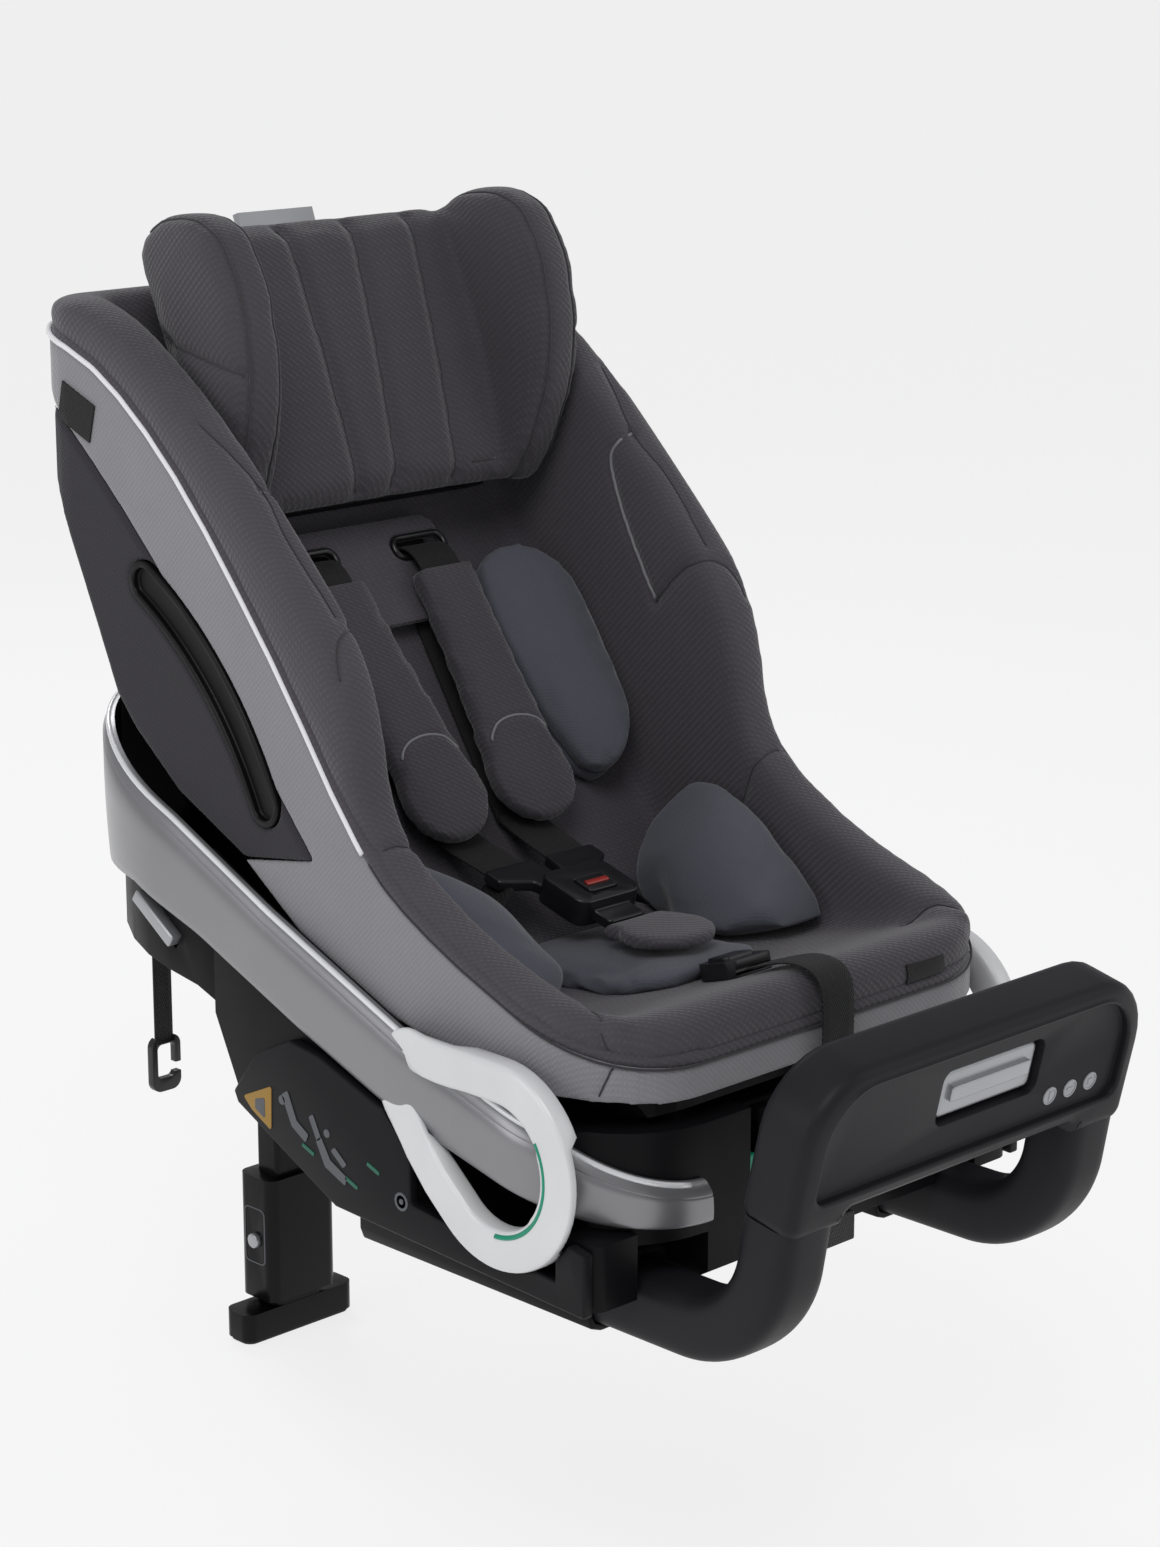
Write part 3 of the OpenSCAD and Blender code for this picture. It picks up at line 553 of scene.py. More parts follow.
def walls(outline, n0, n1, start=0.0, end=0.0, steps=4):
    """Rings of a wall from n0 to n1, rounded in at each end by a radius, all in millimetres."""
    n0, n1, start, end = n0 * MM, n1 * MM, start * MM, end * MM
    sign = math.copysign(1, n1 - n0)
    turns = [math.pi / 2 * k / steps for k in range(steps + 1)]
    rings = [(inset(outline, start * (1 - math.sin(a))), n0 + sign * start * (1 - math.cos(a)))
             for a in turns[:-1] if start]
    rings += [(outline, n0 + sign * start), (outline, n1 - sign * end)]
    return rings + [(inset(outline, end * (1 - math.cos(a))), n1 - sign * end * (1 - math.sin(a)))
                    for a in turns[1:] if end]


def stack(name, place, *groups):
    """A solid from groups of rings: walls inside a group, flat faces between groups and at both ends."""
    shape = bmesh.new()
    last = []
    for rings in groups:
        previous = None
        for index, (outline, n) in enumerate(rings):
            ring = [shape.verts.new(place(p.x, p.y, n)) for p in outline]
            loop = [shape.edges.new((ring[k], ring[(k + 1) % len(ring)])) for k in range(len(ring))]
            if index == 0:
                bmesh.ops.triangle_fill(shape, use_beauty=True, use_dissolve=False, edges=last + loop)
            else:
                for k in range(len(ring)):
                    j = (k + 1) % len(ring)
                    shape.faces.new((previous[k], previous[j], ring[j], ring[k]))
            previous = ring
            last = loop
    bmesh.ops.triangle_fill(shape, use_beauty=True, use_dissolve=False, edges=last)
    bmesh.ops.recalc_face_normals(shape, faces=shape.faces)
    obj = mesh_object(name, [], [])
    shape.to_mesh(obj.data)
    shape.free()
    return obj


def flat_on_side(x):
    """Places (y, z) outlines on a side face, standing out by n."""
    sign = -1 if x < 0 else 1
    return lambda y, z, n: (x + sign * n, y, z)


# ---- The design's own lines, as in the CAD source ----

RIM_X, LINER_X = 201 * MM, 163 * MM
BASE_X = 206 * MM
BAND_T = 9 * MM
RIM_FRONT, RIM_BACK, RIM_ROUND = -230 * MM, 354 * MM, (84 * MM, 52 * MM)
BAND_FRONT, BAND_BACK, BAND_ROUND = -232 * MM, 352 * MM, (92 * MM, 150 * MM)
# How far from the middle the band stops at the foot end, and the slant of its ends
BAND_STOP, BAND_CUT, BAND_SLANT = 114 * MM, (110, 60), 0.15


def from_mm(points):
    return [(y * MM, z * MM) for y, z in points]


def curve(points):
    """A smooth curve through (y, z) points, with three steps from each one to the next."""
    ends = [np.array(p) for p in (points[0], *points, points[-1])]
    out = [tuple(between(*four, t)) for four in zip(ends, ends[1:], ends[2:], ends[3:]) for t in (0, 1 / 3, 2 / 3)]
    return out + [points[-1]]


SEAM = curve(from_mm([(-230, 200), (-202, 208), (-150, 229), (-66, 264), (0, 310), (87, 424), (184, 534), (270, 598),
                      (354, 622)]))
PANEL_EDGE = curve(from_mm([(48, 292), (125, 378), (215, 476), (300, 552), (354, 588)]))
BAND_TOP = from_mm([(-245, 122), (-225, 134), (-180, 161), (-52, 199), (85, 254), (185, 300), (290, 342), (370, 362)])
BAND_LOW = from_mm([(-245, 94), (-175, 112), (-79, 134), (-27, 148), (50, 176), (159, 220), (235, 243), (283, 243),
                    (370, 262)])
# Where a tilted face starts, as (y, z), and its angle from the level
BACK_O, BACK_ANGLE = (0.154, 0.333), math.atan2(129, 100)
HEAD_O, HEAD_ANGLE = (0.202, 0.484), math.radians(70)
PANEL_O, PANEL_ANGLE = (-0.326, 0.126), math.radians(103)
BUCKLE_O, BUCKLE_ANGLE = (-0.006, 0.232), math.radians(16)


def height_at(line, y):
    return float(np.interp(y, *zip(*line)))


def tilted(origin, angle):
    """Places points that are given across the seat, up a tilted face and out of it."""
    return lambda x, u, n: Vector((x, origin[0] + u * math.cos(angle) - n * math.sin(angle),
                                   origin[1] + u * math.sin(angle) + n * math.cos(angle)))


on_back = tilted(BACK_O, BACK_ANGLE)
on_head = tilted(HEAD_O, HEAD_ANGLE)
on_panel = tilted(PANEL_O, PANEL_ANGLE)
on_buckle = tilted(BUCKLE_O, BUCKLE_ANGLE)


def plan_path(half, front, back, r_front, r_back):
    """Outline seen from above: from the head end's middle round the -X side to the foot end's middle."""
    steps = 24
    points = [Vector((0, back))]
    corners = ((-half + r_back, back - r_back, r_back, 90), (-half + r_front, front + r_front, r_front, 180))
    for cx, cy, r, a0 in corners:
        for k in range(steps + 1):
            a = math.radians(a0 + 90 * k / steps)
            points.append(Vector((cx + r * math.cos(a), cy + r * math.sin(a))))
    return points + [Vector((0, front))]


def resample(points, step):
    out = [points[0].copy()]
    for a, b in zip(points, points[1:]):
        count = max(1, round((b - a).length / step))
        out += [a + (b - a) * (k + 1) / count for k in range(count)]
    return out


# ---- Cords: the adjuster strap and the tether straps ----

make_camera()

PULL = [(-172, 226), (-182, 230), (-194, 234.5), (-206, 238), (-218, 239), (-229, 237), (-236, 231),
        (-239, 222), (-240, 208), *((-240, z) for z in range(192, 65, -18))]
ACROSS = (1, 0, 0)
TETHER_X, TETHER_Y, TETHER_Z = 149 * MM, 282 * MM, (225 * MM, 99 * MM)


def strap_section(width, thick):
    """Webbing: flat, with rounded edges and shallow lengthwise ribs."""
    sides = 5
    half, top = width / 2, thick / 2
    xs = [half * (-1 + 2 * k / sides) for k in range(sides + 1)]
    upper = []
    for k, x in enumerate(xs):
        edge = 0.55 if k in (0, sides) else 1
        upper.append((x, top * edge))
        if k < sides:
            upper.append((x + half / sides, top * 0.8))
    return upper + [(x, -z) for x, z in reversed(upper)]


def strap_piece(name, path, width, thick, body, nodes=(), side=ACROSS):
    section = strap_section(width, thick)
    return strand(name, path, section, body, "webbing", nodes=nodes, sharp=SHARP_CLOTH, side=side)


def make_adjuster_strap():
    path = smooth_path([(0, y * MM, z * MM) for y, z in PULL], 5 * MM)
    strap = sweep("adjuster_webbing", path, strap_section(30 * MM, 2 * MM), side=ACROSS)
    strap.data.materials.append(MATERIALS["webbing"])
    strap.data.polygons.foreach_set("use_smooth", [True] * len(strap.data.polygons))
    strap.data.set_sharp_from_angle(angle=math.radians(SHARP_CLOTH))
    end = fused_copy("adjuster_strap_end", ["strap_end"])
    modify(end, "BEVEL", width=1.2 * MM, segments=3, limit_method="ANGLE")
    end.data.materials.append(MATERIALS["strap_tip"])
    for piece, node, slot in ((strap, "adjuster_strap", "webbing"), (end, "strap_end", "strap_tip")):
        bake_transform(piece)
        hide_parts(node)


def make_tethers():
    for label, s in SIDES:
        x = s * TETHER_X
        path = [Vector((x, TETHER_Y, z)) for z in np.linspace(*TETHER_Z, 21)]
        strap = strap_piece("tether_webbing_" + label, path, 16 * MM, 2.4 * MM, "base", ["tether_strap_" + label])
        hook = eased("tether_hook_wire_" + label, "tether_hook_" + label, "base", "hook_metal", 2)


make_adjuster_strap()
make_tethers()
make_studio()

# ---- Hard parts that stay as they are in the CAD ----

for piece in frame["record"]["subparts"]:
    shown = frame["nodes"][piece["node"]]
    shown.data.materials.clear()
    shown.data.materials.append(MATERIALS[piece["material_slot"]])

# ---- Upholstery ----


# Seams of the cushion on the +X side
CUSHION_SEAMS = {
    "rim_top": [(0.19, 0.17, 0.57), (0.176, 0.125, 0.527), (0.18, 0.09, 0.497), (0.176, 0.048, 0.455)],
    "rim_mid": [(RIM_X, 0.01, 0.425), (0.185, 0.032, 0.443), (LINER_X, 0.056, 0.44), (LINER_X, 0.088, 0.41)],
    "rim_low": [(RIM_X, -0.008, 0.303), (0.18, -0.012, 0.31), (LINER_X, -0.006, 0.29), (LINER_X, 0.01, 0.24)],
    "rim_front": [(0.15, -0.165, 0.225), (0.168, -0.185, 0.238), (0.176, -0.206, 0.21)],
}
WING_PIPING = [(0.176, 0.125, 0.527), (LINER_X, 0.134, 0.508), (LINER_X, 0.119, 0.466), (LINER_X, 0.088, 0.41)]


def on_side(points, s):
    return [(s * x, y, z) for x, y, z in points]


def make_upholstery():
    cushion = soft("seat_upholstery", ["rim_cushion", "seat_liner"], "seat", "seat_fabric", relax=40, slim=-1.2)
    for label, s in SIDES:
        for name, points in CUSHION_SEAMS.items():
            seam(f"seam_{name}_{label}", cushion, on_side(points, s))
        seam("piping_wing_" + label, cushion, on_side(WING_PIPING, s), material=PIPING_GREY, radius=1.2)


def seam_path(lift, y0, y1):
    """Along the seam between the rim and the silver cover, on the -X side, from y0 to y1."""
    outline = resample(plan_path(RIM_X + lift, RIM_FRONT - lift, RIM_BACK + lift, *RIM_ROUND), 6 * MM)
    return [(p.x, p.y, height_at(SEAM, p.y)) for p in outline if y0 <= p.y <= y1]


# Thin covers: a fine voxel and no subdivision
COVER = {"voxel": 1.8, "relax": 8, "fine": False, "fill": 0.2}
# Where the white piping ends, and limits beyond the foot and head end
PIPING_END, FOOT_SIDE, HEAD_SIDE = -0.006, -0.31, 0.36


def make_covers():
    silver = soft("silver_fabric_cover", ["silver_cover"], "seat", "silver_fabric", **COVER)
    for label, s in SIDES:
        cover = soft("side_fabric_" + label, ["side_cover_" + label], "seat", "side_fabric", **COVER)
        edge = seam_path(0.4 * MM, PIPING_END, 0.3535)
        strand("piping_white_" + label, smooth_path(on_side(edge, -s)), ring_section(2.0 * MM), "seat",
               "silver_fabric", PIPING_WHITE)
        seam("seam_corner_" + label, silver, [(s * 0.176, -0.209, 0.206), (s * 0.18, -0.2, 0.186)],
             slot="silver_fabric", width=3, depth=1)
        hem = [(s * RIM_X, y, z - 3 * MM) for y, z in reversed(PANEL_EDGE[:-1])]
        seam("seam_side_" + label, cover, hem, slot="side_fabric", width=2.5, depth=0.8)
    rest = seam_path(0.2 * MM, FOOT_SIDE, PIPING_END)
    front = rest + on_side(rest[-2::-1], -1)
    strand("seam_round_front", smooth_path(front), ring_section(0.9 * MM), "seat", "seat_fabric", THREAD)
    # The cushion's cloth turns in under the seam all the way round
    inner = seam_path(-5.2 * MM, FOOT_SIDE, HEAD_SIDE)
    roll = [(x, y, z + 2 * MM) for x, y, z in inner + on_side(inner[-2:0:-1], -1)]
    strand("rim_turned_edge", roll, ring_section(5.6 * MM, 14), "seat", "seat_fabric", closed=True)


make_upholstery()
make_covers()

# ---- Insert pads ----


def oval(obj, middle_x, low_u, high_u):
    """Narrows a pad that lies on the back towards its ends, more at the lower one."""
    places = coords(obj)
    y, z = places[:, 1] - BACK_O[0], places[:, 2] - BACK_O[1]
    t = np.clip((y * math.cos(BACK_ANGLE) + z * math.sin(BACK_ANGLE) - low_u) / (high_u - low_u), 0, 1)
    width = np.interp(t, (0, 0.15, 0.35, 0.6, 0.8, 1), (0.66, 0.84, 1.02, 1.1, 1.04, 0.86))
    places[:, 0] = middle_x + (places[:, 0] - middle_x) * width
    set_coords(obj, places)


def domed(obj, facing, share):
    """Moves a pad's surface towards a ball: its peaks in, and out only on the side that faces the child."""
    places = coords(obj)
    centre = places.mean(axis=0)
    out = places - centre
    reach = np.maximum(np.linalg.norm(out, axis=1, keepdims=True), 1e-6)
    move = share * (reach.mean() - reach)
    faces = np.clip((out / reach) @ np.array(facing).reshape(3, 1) * 2.5, 0, 1)
    move = np.where(move > 0, np.minimum(move, 9 * MM) * faces, move)
    set_coords(obj, places + out / reach * move)


# A lumbar pad's oval on the back: its middle, half its sizes and how far out its seam lies
LUMBAR_X, LUMBAR_U, LUMBAR_HALF_X, LUMBAR_HALF_U, LUMBAR_LIFT = 119 * MM, 22 * MM, 41 * MM, 83 * MM, 18 * MM


def make_insert():
    for label, s in SIDES:
        lumbar = soft("lumbar_cushion_" + label, ["lumbar_pad_" + label], "seat", "insert_fabric", 4.5, 6,
                      swell=(4, 7), fill=0.7)
        oval(lumbar, s * LUMBAR_X, LUMBAR_U - LUMBAR_HALF_U, LUMBAR_U + LUMBAR_HALF_U)
        hip = soft("hip_cushion_" + label, ["hip_pad_" + label], "seat", "insert_fabric", 4, 30, swell=(4, 9), fill=0.7)
        domed(hip, (-0.6 * s, 0, 0.8), 0.3)
        outline = [on_back(s * (LUMBAR_X + LUMBAR_HALF_X * math.cos(a)), LUMBAR_U + LUMBAR_HALF_U * math.sin(a),
                           LUMBAR_LIFT) for a in np.linspace(0, 2 * math.pi, 40)]
        seam("seam_lumbar_" + label, lumbar, outline, slot="insert_fabric", radius=0.8, width=4, depth=1.8)
    soft("seat_cushion", ["seat_insert"], "seat", "insert_fabric", 4, 6, swell=(3, 5))


make_insert()

# ---- Harness ----

SLOT_X, STRAP_LEAN = 52 * MM, math.radians(4.4)
# The strap's run to the buckle and its turn into the slot: up and out of the back, in millimetres
STRAP_LINE = [(0, 4.6), (-226, 4.6), (-242, 7.5), (-256, 14), (-300, 46)]
STRAP_TURN = [(134, 7), (133, 14), (129, 21), (121, 26), (111, 28), (98, 27.5)]
TONGUE = [(3, 16), (25, 16), (28, 27), (52, 37), (52, 53), (7, 53)]
TONGUE_RADII = [2 * MM] + [3.5 * MM] * 4 + [2 * MM]


def make_harness():
    pads = soft("shoulder_pad_pair", ["shoulder_pads"], "headrest", "seat_fabric", 3.5, 6, (3, 4))
    pads.data.materials[0] = HEAD_CLOTH
    for label, s in SIDES:
        arc = [on_back(s * 0.0425 + 0.034 * math.cos(a), -0.046 + 0.026 * math.sin(a), 0.04)
               for a in np.linspace(0.15 * math.pi, 0.85 * math.pi, 9)]
        seam("pad_piping_" + label, pads, arc, "headrest", material=PIPING_GREY, radius=0.9, width=3, depth=1.2)
    soft("crotch_cushion", ["crotch_pad"], "seat", "seat_fabric", 3, 5, swell=(3, 3))
    soft("yoke_cushion", ["harness_yoke"], "headrest", "seat_fabric", 3, 4)
    for label, s in SIDES:
        guide = [on_back(s * SLOT_X + p.x, 0.132 + p.y, 0.0175) for p in box_outline(48 * MM, 16 * MM, 7 * MM)]
        strand("strap_guide_" + label, guide, ring_section(2.6 * MM), "headrest", "buckle_black", closed=True)
        turn = [on_back(s * SLOT_X, u * MM, n * MM) for u, n in STRAP_TURN]
        strap_piece("strap_turn_" + label, smooth_path(turn), 38 * MM, 2.2 * MM, "headrest")
    for label, s in SIDES:
        path = [on_back(s * (SLOT_X + u * MM * math.sin(STRAP_LEAN)), 0.158 + u * MM * math.cos(STRAP_LEAN), n * MM)
                for u, n in STRAP_LINE]
        strap_piece("shoulder_webbing_" + label, smooth_path(path), 38 * MM, 2.2 * MM, "seat", ["shoulder_straps"])
        hip = [(s * 0.086, 0.029, 0.21), (s * 0.064, 0.031, 0.229), (s * 0.045, 0.034, 0.246)]
        strap_piece("hip_webbing_" + label, smooth_path(hip), 28 * MM, 2 * MM, "seat", ["hip_straps"], (0, 1, 0))
        corners = [(s * x * MM, y * MM) for x, y in (TONGUE if s > 0 else reversed(TONGUE))]
        tongue = walls(rounded_outline(corners, TONGUE_RADII, 5), 2.5, 11, 2, 2)
        finish_piece(stack("harness_tongue_" + label, on_buckle, tongue), "seat", "buckle_black", sharp=SHARP)
    eased("buckle_body", "buckle", "seat", "buckle_black", 2.2)
    eased("buckle_key", "buckle_button", "buckle_button", "buckle_black", 1.2)
    low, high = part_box("buckle_button")
    top = Vector((0, (low.y + high.y) / 2 - 1.2 * MM, high.z - 2.1 * MM))
    strand("buckle_red_bar", [top + Vector((x * MM, 0, 0)) for x in (-10, -9.4, 0, 9.4, 10)],
           rounded_section(5 * MM, 2.4 * MM, 3, 16), "buckle_button", "button_red",
           side=(0, math.cos(BUCKLE_ANGLE), math.sin(BUCKLE_ANGLE)))
    eased("adjuster_body", "harness_adjuster", "seat", "buckle_black", 2)
    eased("adjuster_key", "adjuster_button", "adjuster_button", "buckle_black", 1.2)


make_harness()

# ---- Headrest ----

# Each pleat's x at the top and at the bottom
PLEATS = ((-0.034, -0.024), (0.028, 0.011), (0.085, 0.068))
WING_SIDE = [(2, -8), (0, 10), (20, 34), (56, 64), (98, 85), (150, 93), (190, 85), (212, 63), (222, 30), (219, 4)]


def make_headrest():
    cover = soft("headrest_upholstery", ["headrest_wings", "headrest_cushion"], "headrest", "seat_fabric",
                 relax=26, swell=(4, 6))
    cover.data.materials[0] = HEAD_CLOTH
    for k, (top, low) in enumerate(PLEATS):
        line = [on_head(low + (top - low) * u / 0.215, u, 0.014) for u in (0.004, 0.05, 0.1, 0.15, 0.2, 0.219)]
        seam(f"pleat_{k}", cover, line, "headrest", radius=0.5, width=6, depth=4)
    for label, s in SIDES:
        for edge, x in (("outer", 0.154), ("inner", 0.124)):
            line = [on_head(s * x, u * MM, n * MM) for u, n in WING_SIDE]
            seam(f"wing_piping_{edge}_{label}", cover, line, "headrest", radius=1.0, width=3.5, depth=1.5)
        cross = [on_head(s * 0.16, u * MM, n * MM) for u, n in ((142, -4), (125, 28), (99, 71), (92, 82))]
        seam("wing_seam_" + label, cover, cross, "headrest")
    slit = [on_head(x, 0.022, 0.012) for x in (0.084, 0.095, 0.106)]
    seam("stitched_slit", cover, slit, "headrest", radius=0.6, width=2.5, depth=1)
    eased("height_handle", "headrest_handle", "headrest_handle", "silver_plastic", 9, 5)


make_headrest()

# ---- Base ----

# The band's section: how far out, with the height above its low edge, its share, or the depth below its top
BAND_EDGE = ((0.4, 0), (4.4, 0), (5.8, 0.5), (6.8, 1.8))
BAND_FACE = ((7.3, 0.1), (8.1, 0.25), (8.7, 0.42), (9, 0.58))
BAND_RIM = ((9, 10.6), (8.6, 10.2), (8.6, 9.4), (9, 9), (8.7, 8), (7.2, 4.8), (5.2, 2), (3.6, 0.6), (2.4, 0),
            (0.4, 0))
# The bright lip on the band, coloured near white as a painted highlight along its top edge: how far out and down, its
# radius, and how many steps it stops short
LIP_OUT, LIP_DOWN, LIP_R, LIP_SHORT = 4.6 * MM, 1.9 * MM, 2.1 * MM, 3
# A belt ring: the centres and radii of its two circles, and its bar's width and sides
RINGS = ((-148 * MM, 136 * MM), (-66 * MM, 166 * MM))
RING_RADII, RING_BAR, RING_SIDES = (70 * MM, 40 * MM), 28 * MM, 24
RING_OUT, RING_IN, RING_OVER_BAND = -223 * MM, -206.3 * MM, -215.3 * MM
# Where the ring dips under the band, over what length, and how deep
DIP_START, DIP_RUN, DIP = -95 * MM, 55 * MM, 10 * MM
INLAY_R, INLAY_FROM, INLAY_TO = 46 * MM, math.radians(146), math.radians(268)


def make_band():
    """The silver band: a rounded lower edge, a shallow groove and a bright lip along the top, whose near-white colour
    is a painted highlight.
    """
    half = resample(plan_path(BASE_X, BAND_FRONT, BAND_BACK, *BAND_ROUND), 8 * MM)
    half = [p for p in half if p.y > BAND_FRONT + 0.1 * MM or p.x < -BAND_STOP]
    outline = list(reversed(half)) + [Vector((-p.x, p.y)) for p in half[1:]]
    points, lip = [], []
    for i, p in enumerate(outline):
        run = outline[min(i + 1, len(outline) - 1)] - outline[max(i - 1, 0)]
        out = Vector((-run.y, run.x)).normalized()
        low, top = height_at(BAND_LOW, p.y + out.y * BAND_T), height_at(BAND_TOP, p.y + out.y * BAND_T)
        lip.append(Vector((*(p + out * LIP_OUT), top - LIP_DOWN)))
        section = [(d, low + z * MM) for d, z in BAND_EDGE]
        section += [(d, low + share * (top - low)) for d, share in BAND_FACE]
        section += [(d, top - z * MM) for d, z in BAND_RIM]
        for d, z in section:
            q = p + out * d * MM
            x = q.x
            if i in (0, len(outline) - 1):
                x = math.copysign((BAND_CUT[0] + (z / MM - BAND_CUT[1]) * BAND_SLANT) * MM, q.x)
            points.append((x, q.y, z))
    n = len(points) // len(outline)
    ends = [tuple(range(n)), tuple(reversed(range(len(points) - n, len(points))))]
    band = mesh_object("silver_band_shaped", points, tube_faces(len(outline), n) + ends)
    turned_out(band)
    # The band's face in the darker silver, as painted shade
    finish_piece(band, "base", "silver_plastic", BAND_SILVER_SHADED, nodes=["silver_band"], sharp=SHARP_CLOTH)
    lip = lip[LIP_SHORT:-LIP_SHORT]
    # A bead along the band's top edge, in a near-white colour that is a painted highlight
    strand("silver_band_lip", lip, ring_section(LIP_R, 10), "base", "silver_plastic", BAND_LIP_HIGHLIGHT)


def arc_points(y, z, r, start, end, count):
    return [Vector((y + r * math.cos(a), z + r * math.sin(a))) for a in np.linspace(start, end, count)]


def ring_loop(offset):
    """The ring's outline at a distance inside its outer edge, as (y, z) points."""
    (ay, az), (by, bz) = RINGS
    ra, rb = (radius - offset for radius in RING_RADII)
    length = math.hypot(by - ay, bz - az)
    turn = math.atan2(bz - az, by - ay)
    k = math.acos((ra - rb) / length)
    large = arc_points(ay, az, ra, turn + k, turn + 2 * math.pi - k, 40)
    small = arc_points(by, bz, rb, turn - k, turn + k, 20)
    return (large + [large[-1].lerp(small[0], j / 6) for j in range(1, 6)]
            + small + [small[-1].lerp(large[0], j / 6) for j in range(1, 6)])


def make_rings():
    """The belt rings: a rounded bar that dips under the band, with a green inlay."""
    outer, inner = ring_loop(0), ring_loop(RING_BAR)
    for label, s in FROM_LEFT:
        points = []
        for a, b in zip(outer, inner):
            middle = (a + b) / 2
            low, top = height_at(BAND_LOW, middle.x) - 10 * MM, height_at(BAND_TOP, middle.x) + 10 * MM
            back = RING_OVER_BAND if low < middle.y < top else RING_IN
            t = min(1, max(0, (middle.x - DIP_START) / DIP_RUN))
            front = RING_OUT + DIP * t * t * (3 - 2 * t)
            back = max(back, front + 5 * MM)
            for u, d in rounded_section(2, 2, 5, RING_SIDES):
                place = middle + (a - b) / 2 * u
                points.append((s * ((front + back) / 2 - d * (back - front) / 2), place.x, place.y))
        ring = mesh_object("belt_ring_shaped_" + label, points, tube_faces(len(outer), RING_SIDES, closed=True))
        turned_out(ring)
        finish_piece(ring, "base", "ring_white", nodes=["belt_ring_" + label], sharp=SHARP_BAR)
        arc = [(s * (RING_OUT + 0.8 * MM), RINGS[0][0] + INLAY_R * math.cos(a), RINGS[0][1] + INLAY_R * math.sin(a))
               for a in np.linspace(INLAY_FROM, INLAY_TO, 36)]
        strand("green_inlay_" + label, arc, rounded_section(3.6 * MM, 2.4 * MM, 3, 12), "base", "green_plastic",
               nodes=["ring_inlays"])


PLATE_X = -215 * MM


def shape_on_plate(name, s, points, radius, material, slot="icon_grey", height=0.5, hole=()):
    """A flat print or sticker on a side plate, from (y, z) points. All sizes are in millimetres."""
    outline = rounded_outline(from_mm(points), [radius * MM] * len(points), 4)
    groups = [walls(outline, -0.3, height, end=0.15, steps=2)]
    if hole:
        groups.append(walls(rounded_outline(from_mm(hole), [radius * MM * 0.7] * len(hole), 4), height, 0.0))
    finish_piece(stack(name, flat_on_side(s * PLATE_X), *groups), "base", slot, material, sharp=SHARP)


def disc_points(y, z, r):
    return [(y + r * math.cos(a), z + r * math.sin(a)) for a in np.linspace(0, 2 * math.pi, 12, endpoint=False)]


def slanted_mark(y, z):
    return [(y, z), (y + 12, z + 4.4), (y + 11, z + 7), (y - 1, z + 2.6)]


# Generic pictures on the side plates, without lettering: a name and what shape_on_plate takes
PRINTS = (
    ("amber_sticker", [(80, 99), (100, 109), (109, 117), (79, 131)], 1.5, AMBER),
    ("amber_mark", [(86, 106), (96, 111), (96, 118), (86, 121)], 1.2, PICTURE, "icon_grey", 0.9),
    ("print_seat", [(62, 132), (68, 128), (58, 108), (44, 100), (41, 106), (53, 113)], 1.2, PICTURE),
    ("print_seat_back", [(36, 122), (40, 119), (32, 104), (28, 107)], 1.2, PICTURE),
    ("print_shell", [(28, 108), (33, 104), (24, 88), (4, 80), (2, 86), (19, 94)], 1.2, PICTURE),
    ("print_belt", [(14, 104), (18, 101), (6, 92), (2, 95)], 1.2, PICTURE),
    ("print_head", disc_points(68, 124, 3.4), 0.5, PICTURE),
    ("print_knob", disc_points(22, 112, 3.0), 0.5, PICTURE),
    ("print_ring", disc_points(-52, 84, 6.5), 1.0, PICTURE, "icon_grey", 0.5, disc_points(-52, 84, 4.6)),
    ("print_dot", disc_points(-52, 84, 2.0), 0.4, PICTURE),
    ("green_mark_0", slanted_mark(36, 92), 0.8, PRINT_GREEN, "green_plastic"),
    ("green_mark_1", slanted_mark(-8, 80), 0.8, PRINT_GREEN, "green_plastic"),
    ("green_mark_2", slanted_mark(-30, 96), 0.8, PRINT_GREEN, "green_plastic"),
)


def make_plates():
    for label, s in FROM_LEFT:
        eased("side_plate_shaped_" + label, "side_plate_" + label, "base", "plate_plastic", 1.5)
        for name, *shape in PRINTS:
            shape_on_plate(f"{name}_{label}", s, *shape)


def make_base():
    make_band()
    make_rings()
    make_plates()
    eased("base_body", "base_tray", "base", "base_plastic", 2.2)
    eased("head_end_housing", "head_housing", "base", "base_plastic", 2.2)
    eased("arm_collars", "arm_sleeves", "base", "base_plastic", 1.5)
    eased("green_guides", "belt_guides", "base", "green_plastic", 1.5)
    eased("recline_pull", "recline_handle", "recline_handle", "handle_plastic", 2.5, 4)
    for label, _ in SIDES:
        eased("strap_lever_" + label, "strap_release_" + label, "strap_release_" + label, "silver_plastic", 1.6)
    eased("side_slot_trims", "vent_trims", "seat", "trim_black", 1.2)
    eased("headrest_back_plate", "headrest_core", "headrest", "base_plastic", 3)


make_base()

# ---- Rebound bar ----


# The arms: half their distance, height, start, and the bend's radius and the lean after it
ARM_X, ARM_Z, ARM_START, ARM_BEND, ARM_LEAN = 140 * MM, 40 * MM, -20 * MM, 70 * MM, math.radians(13)


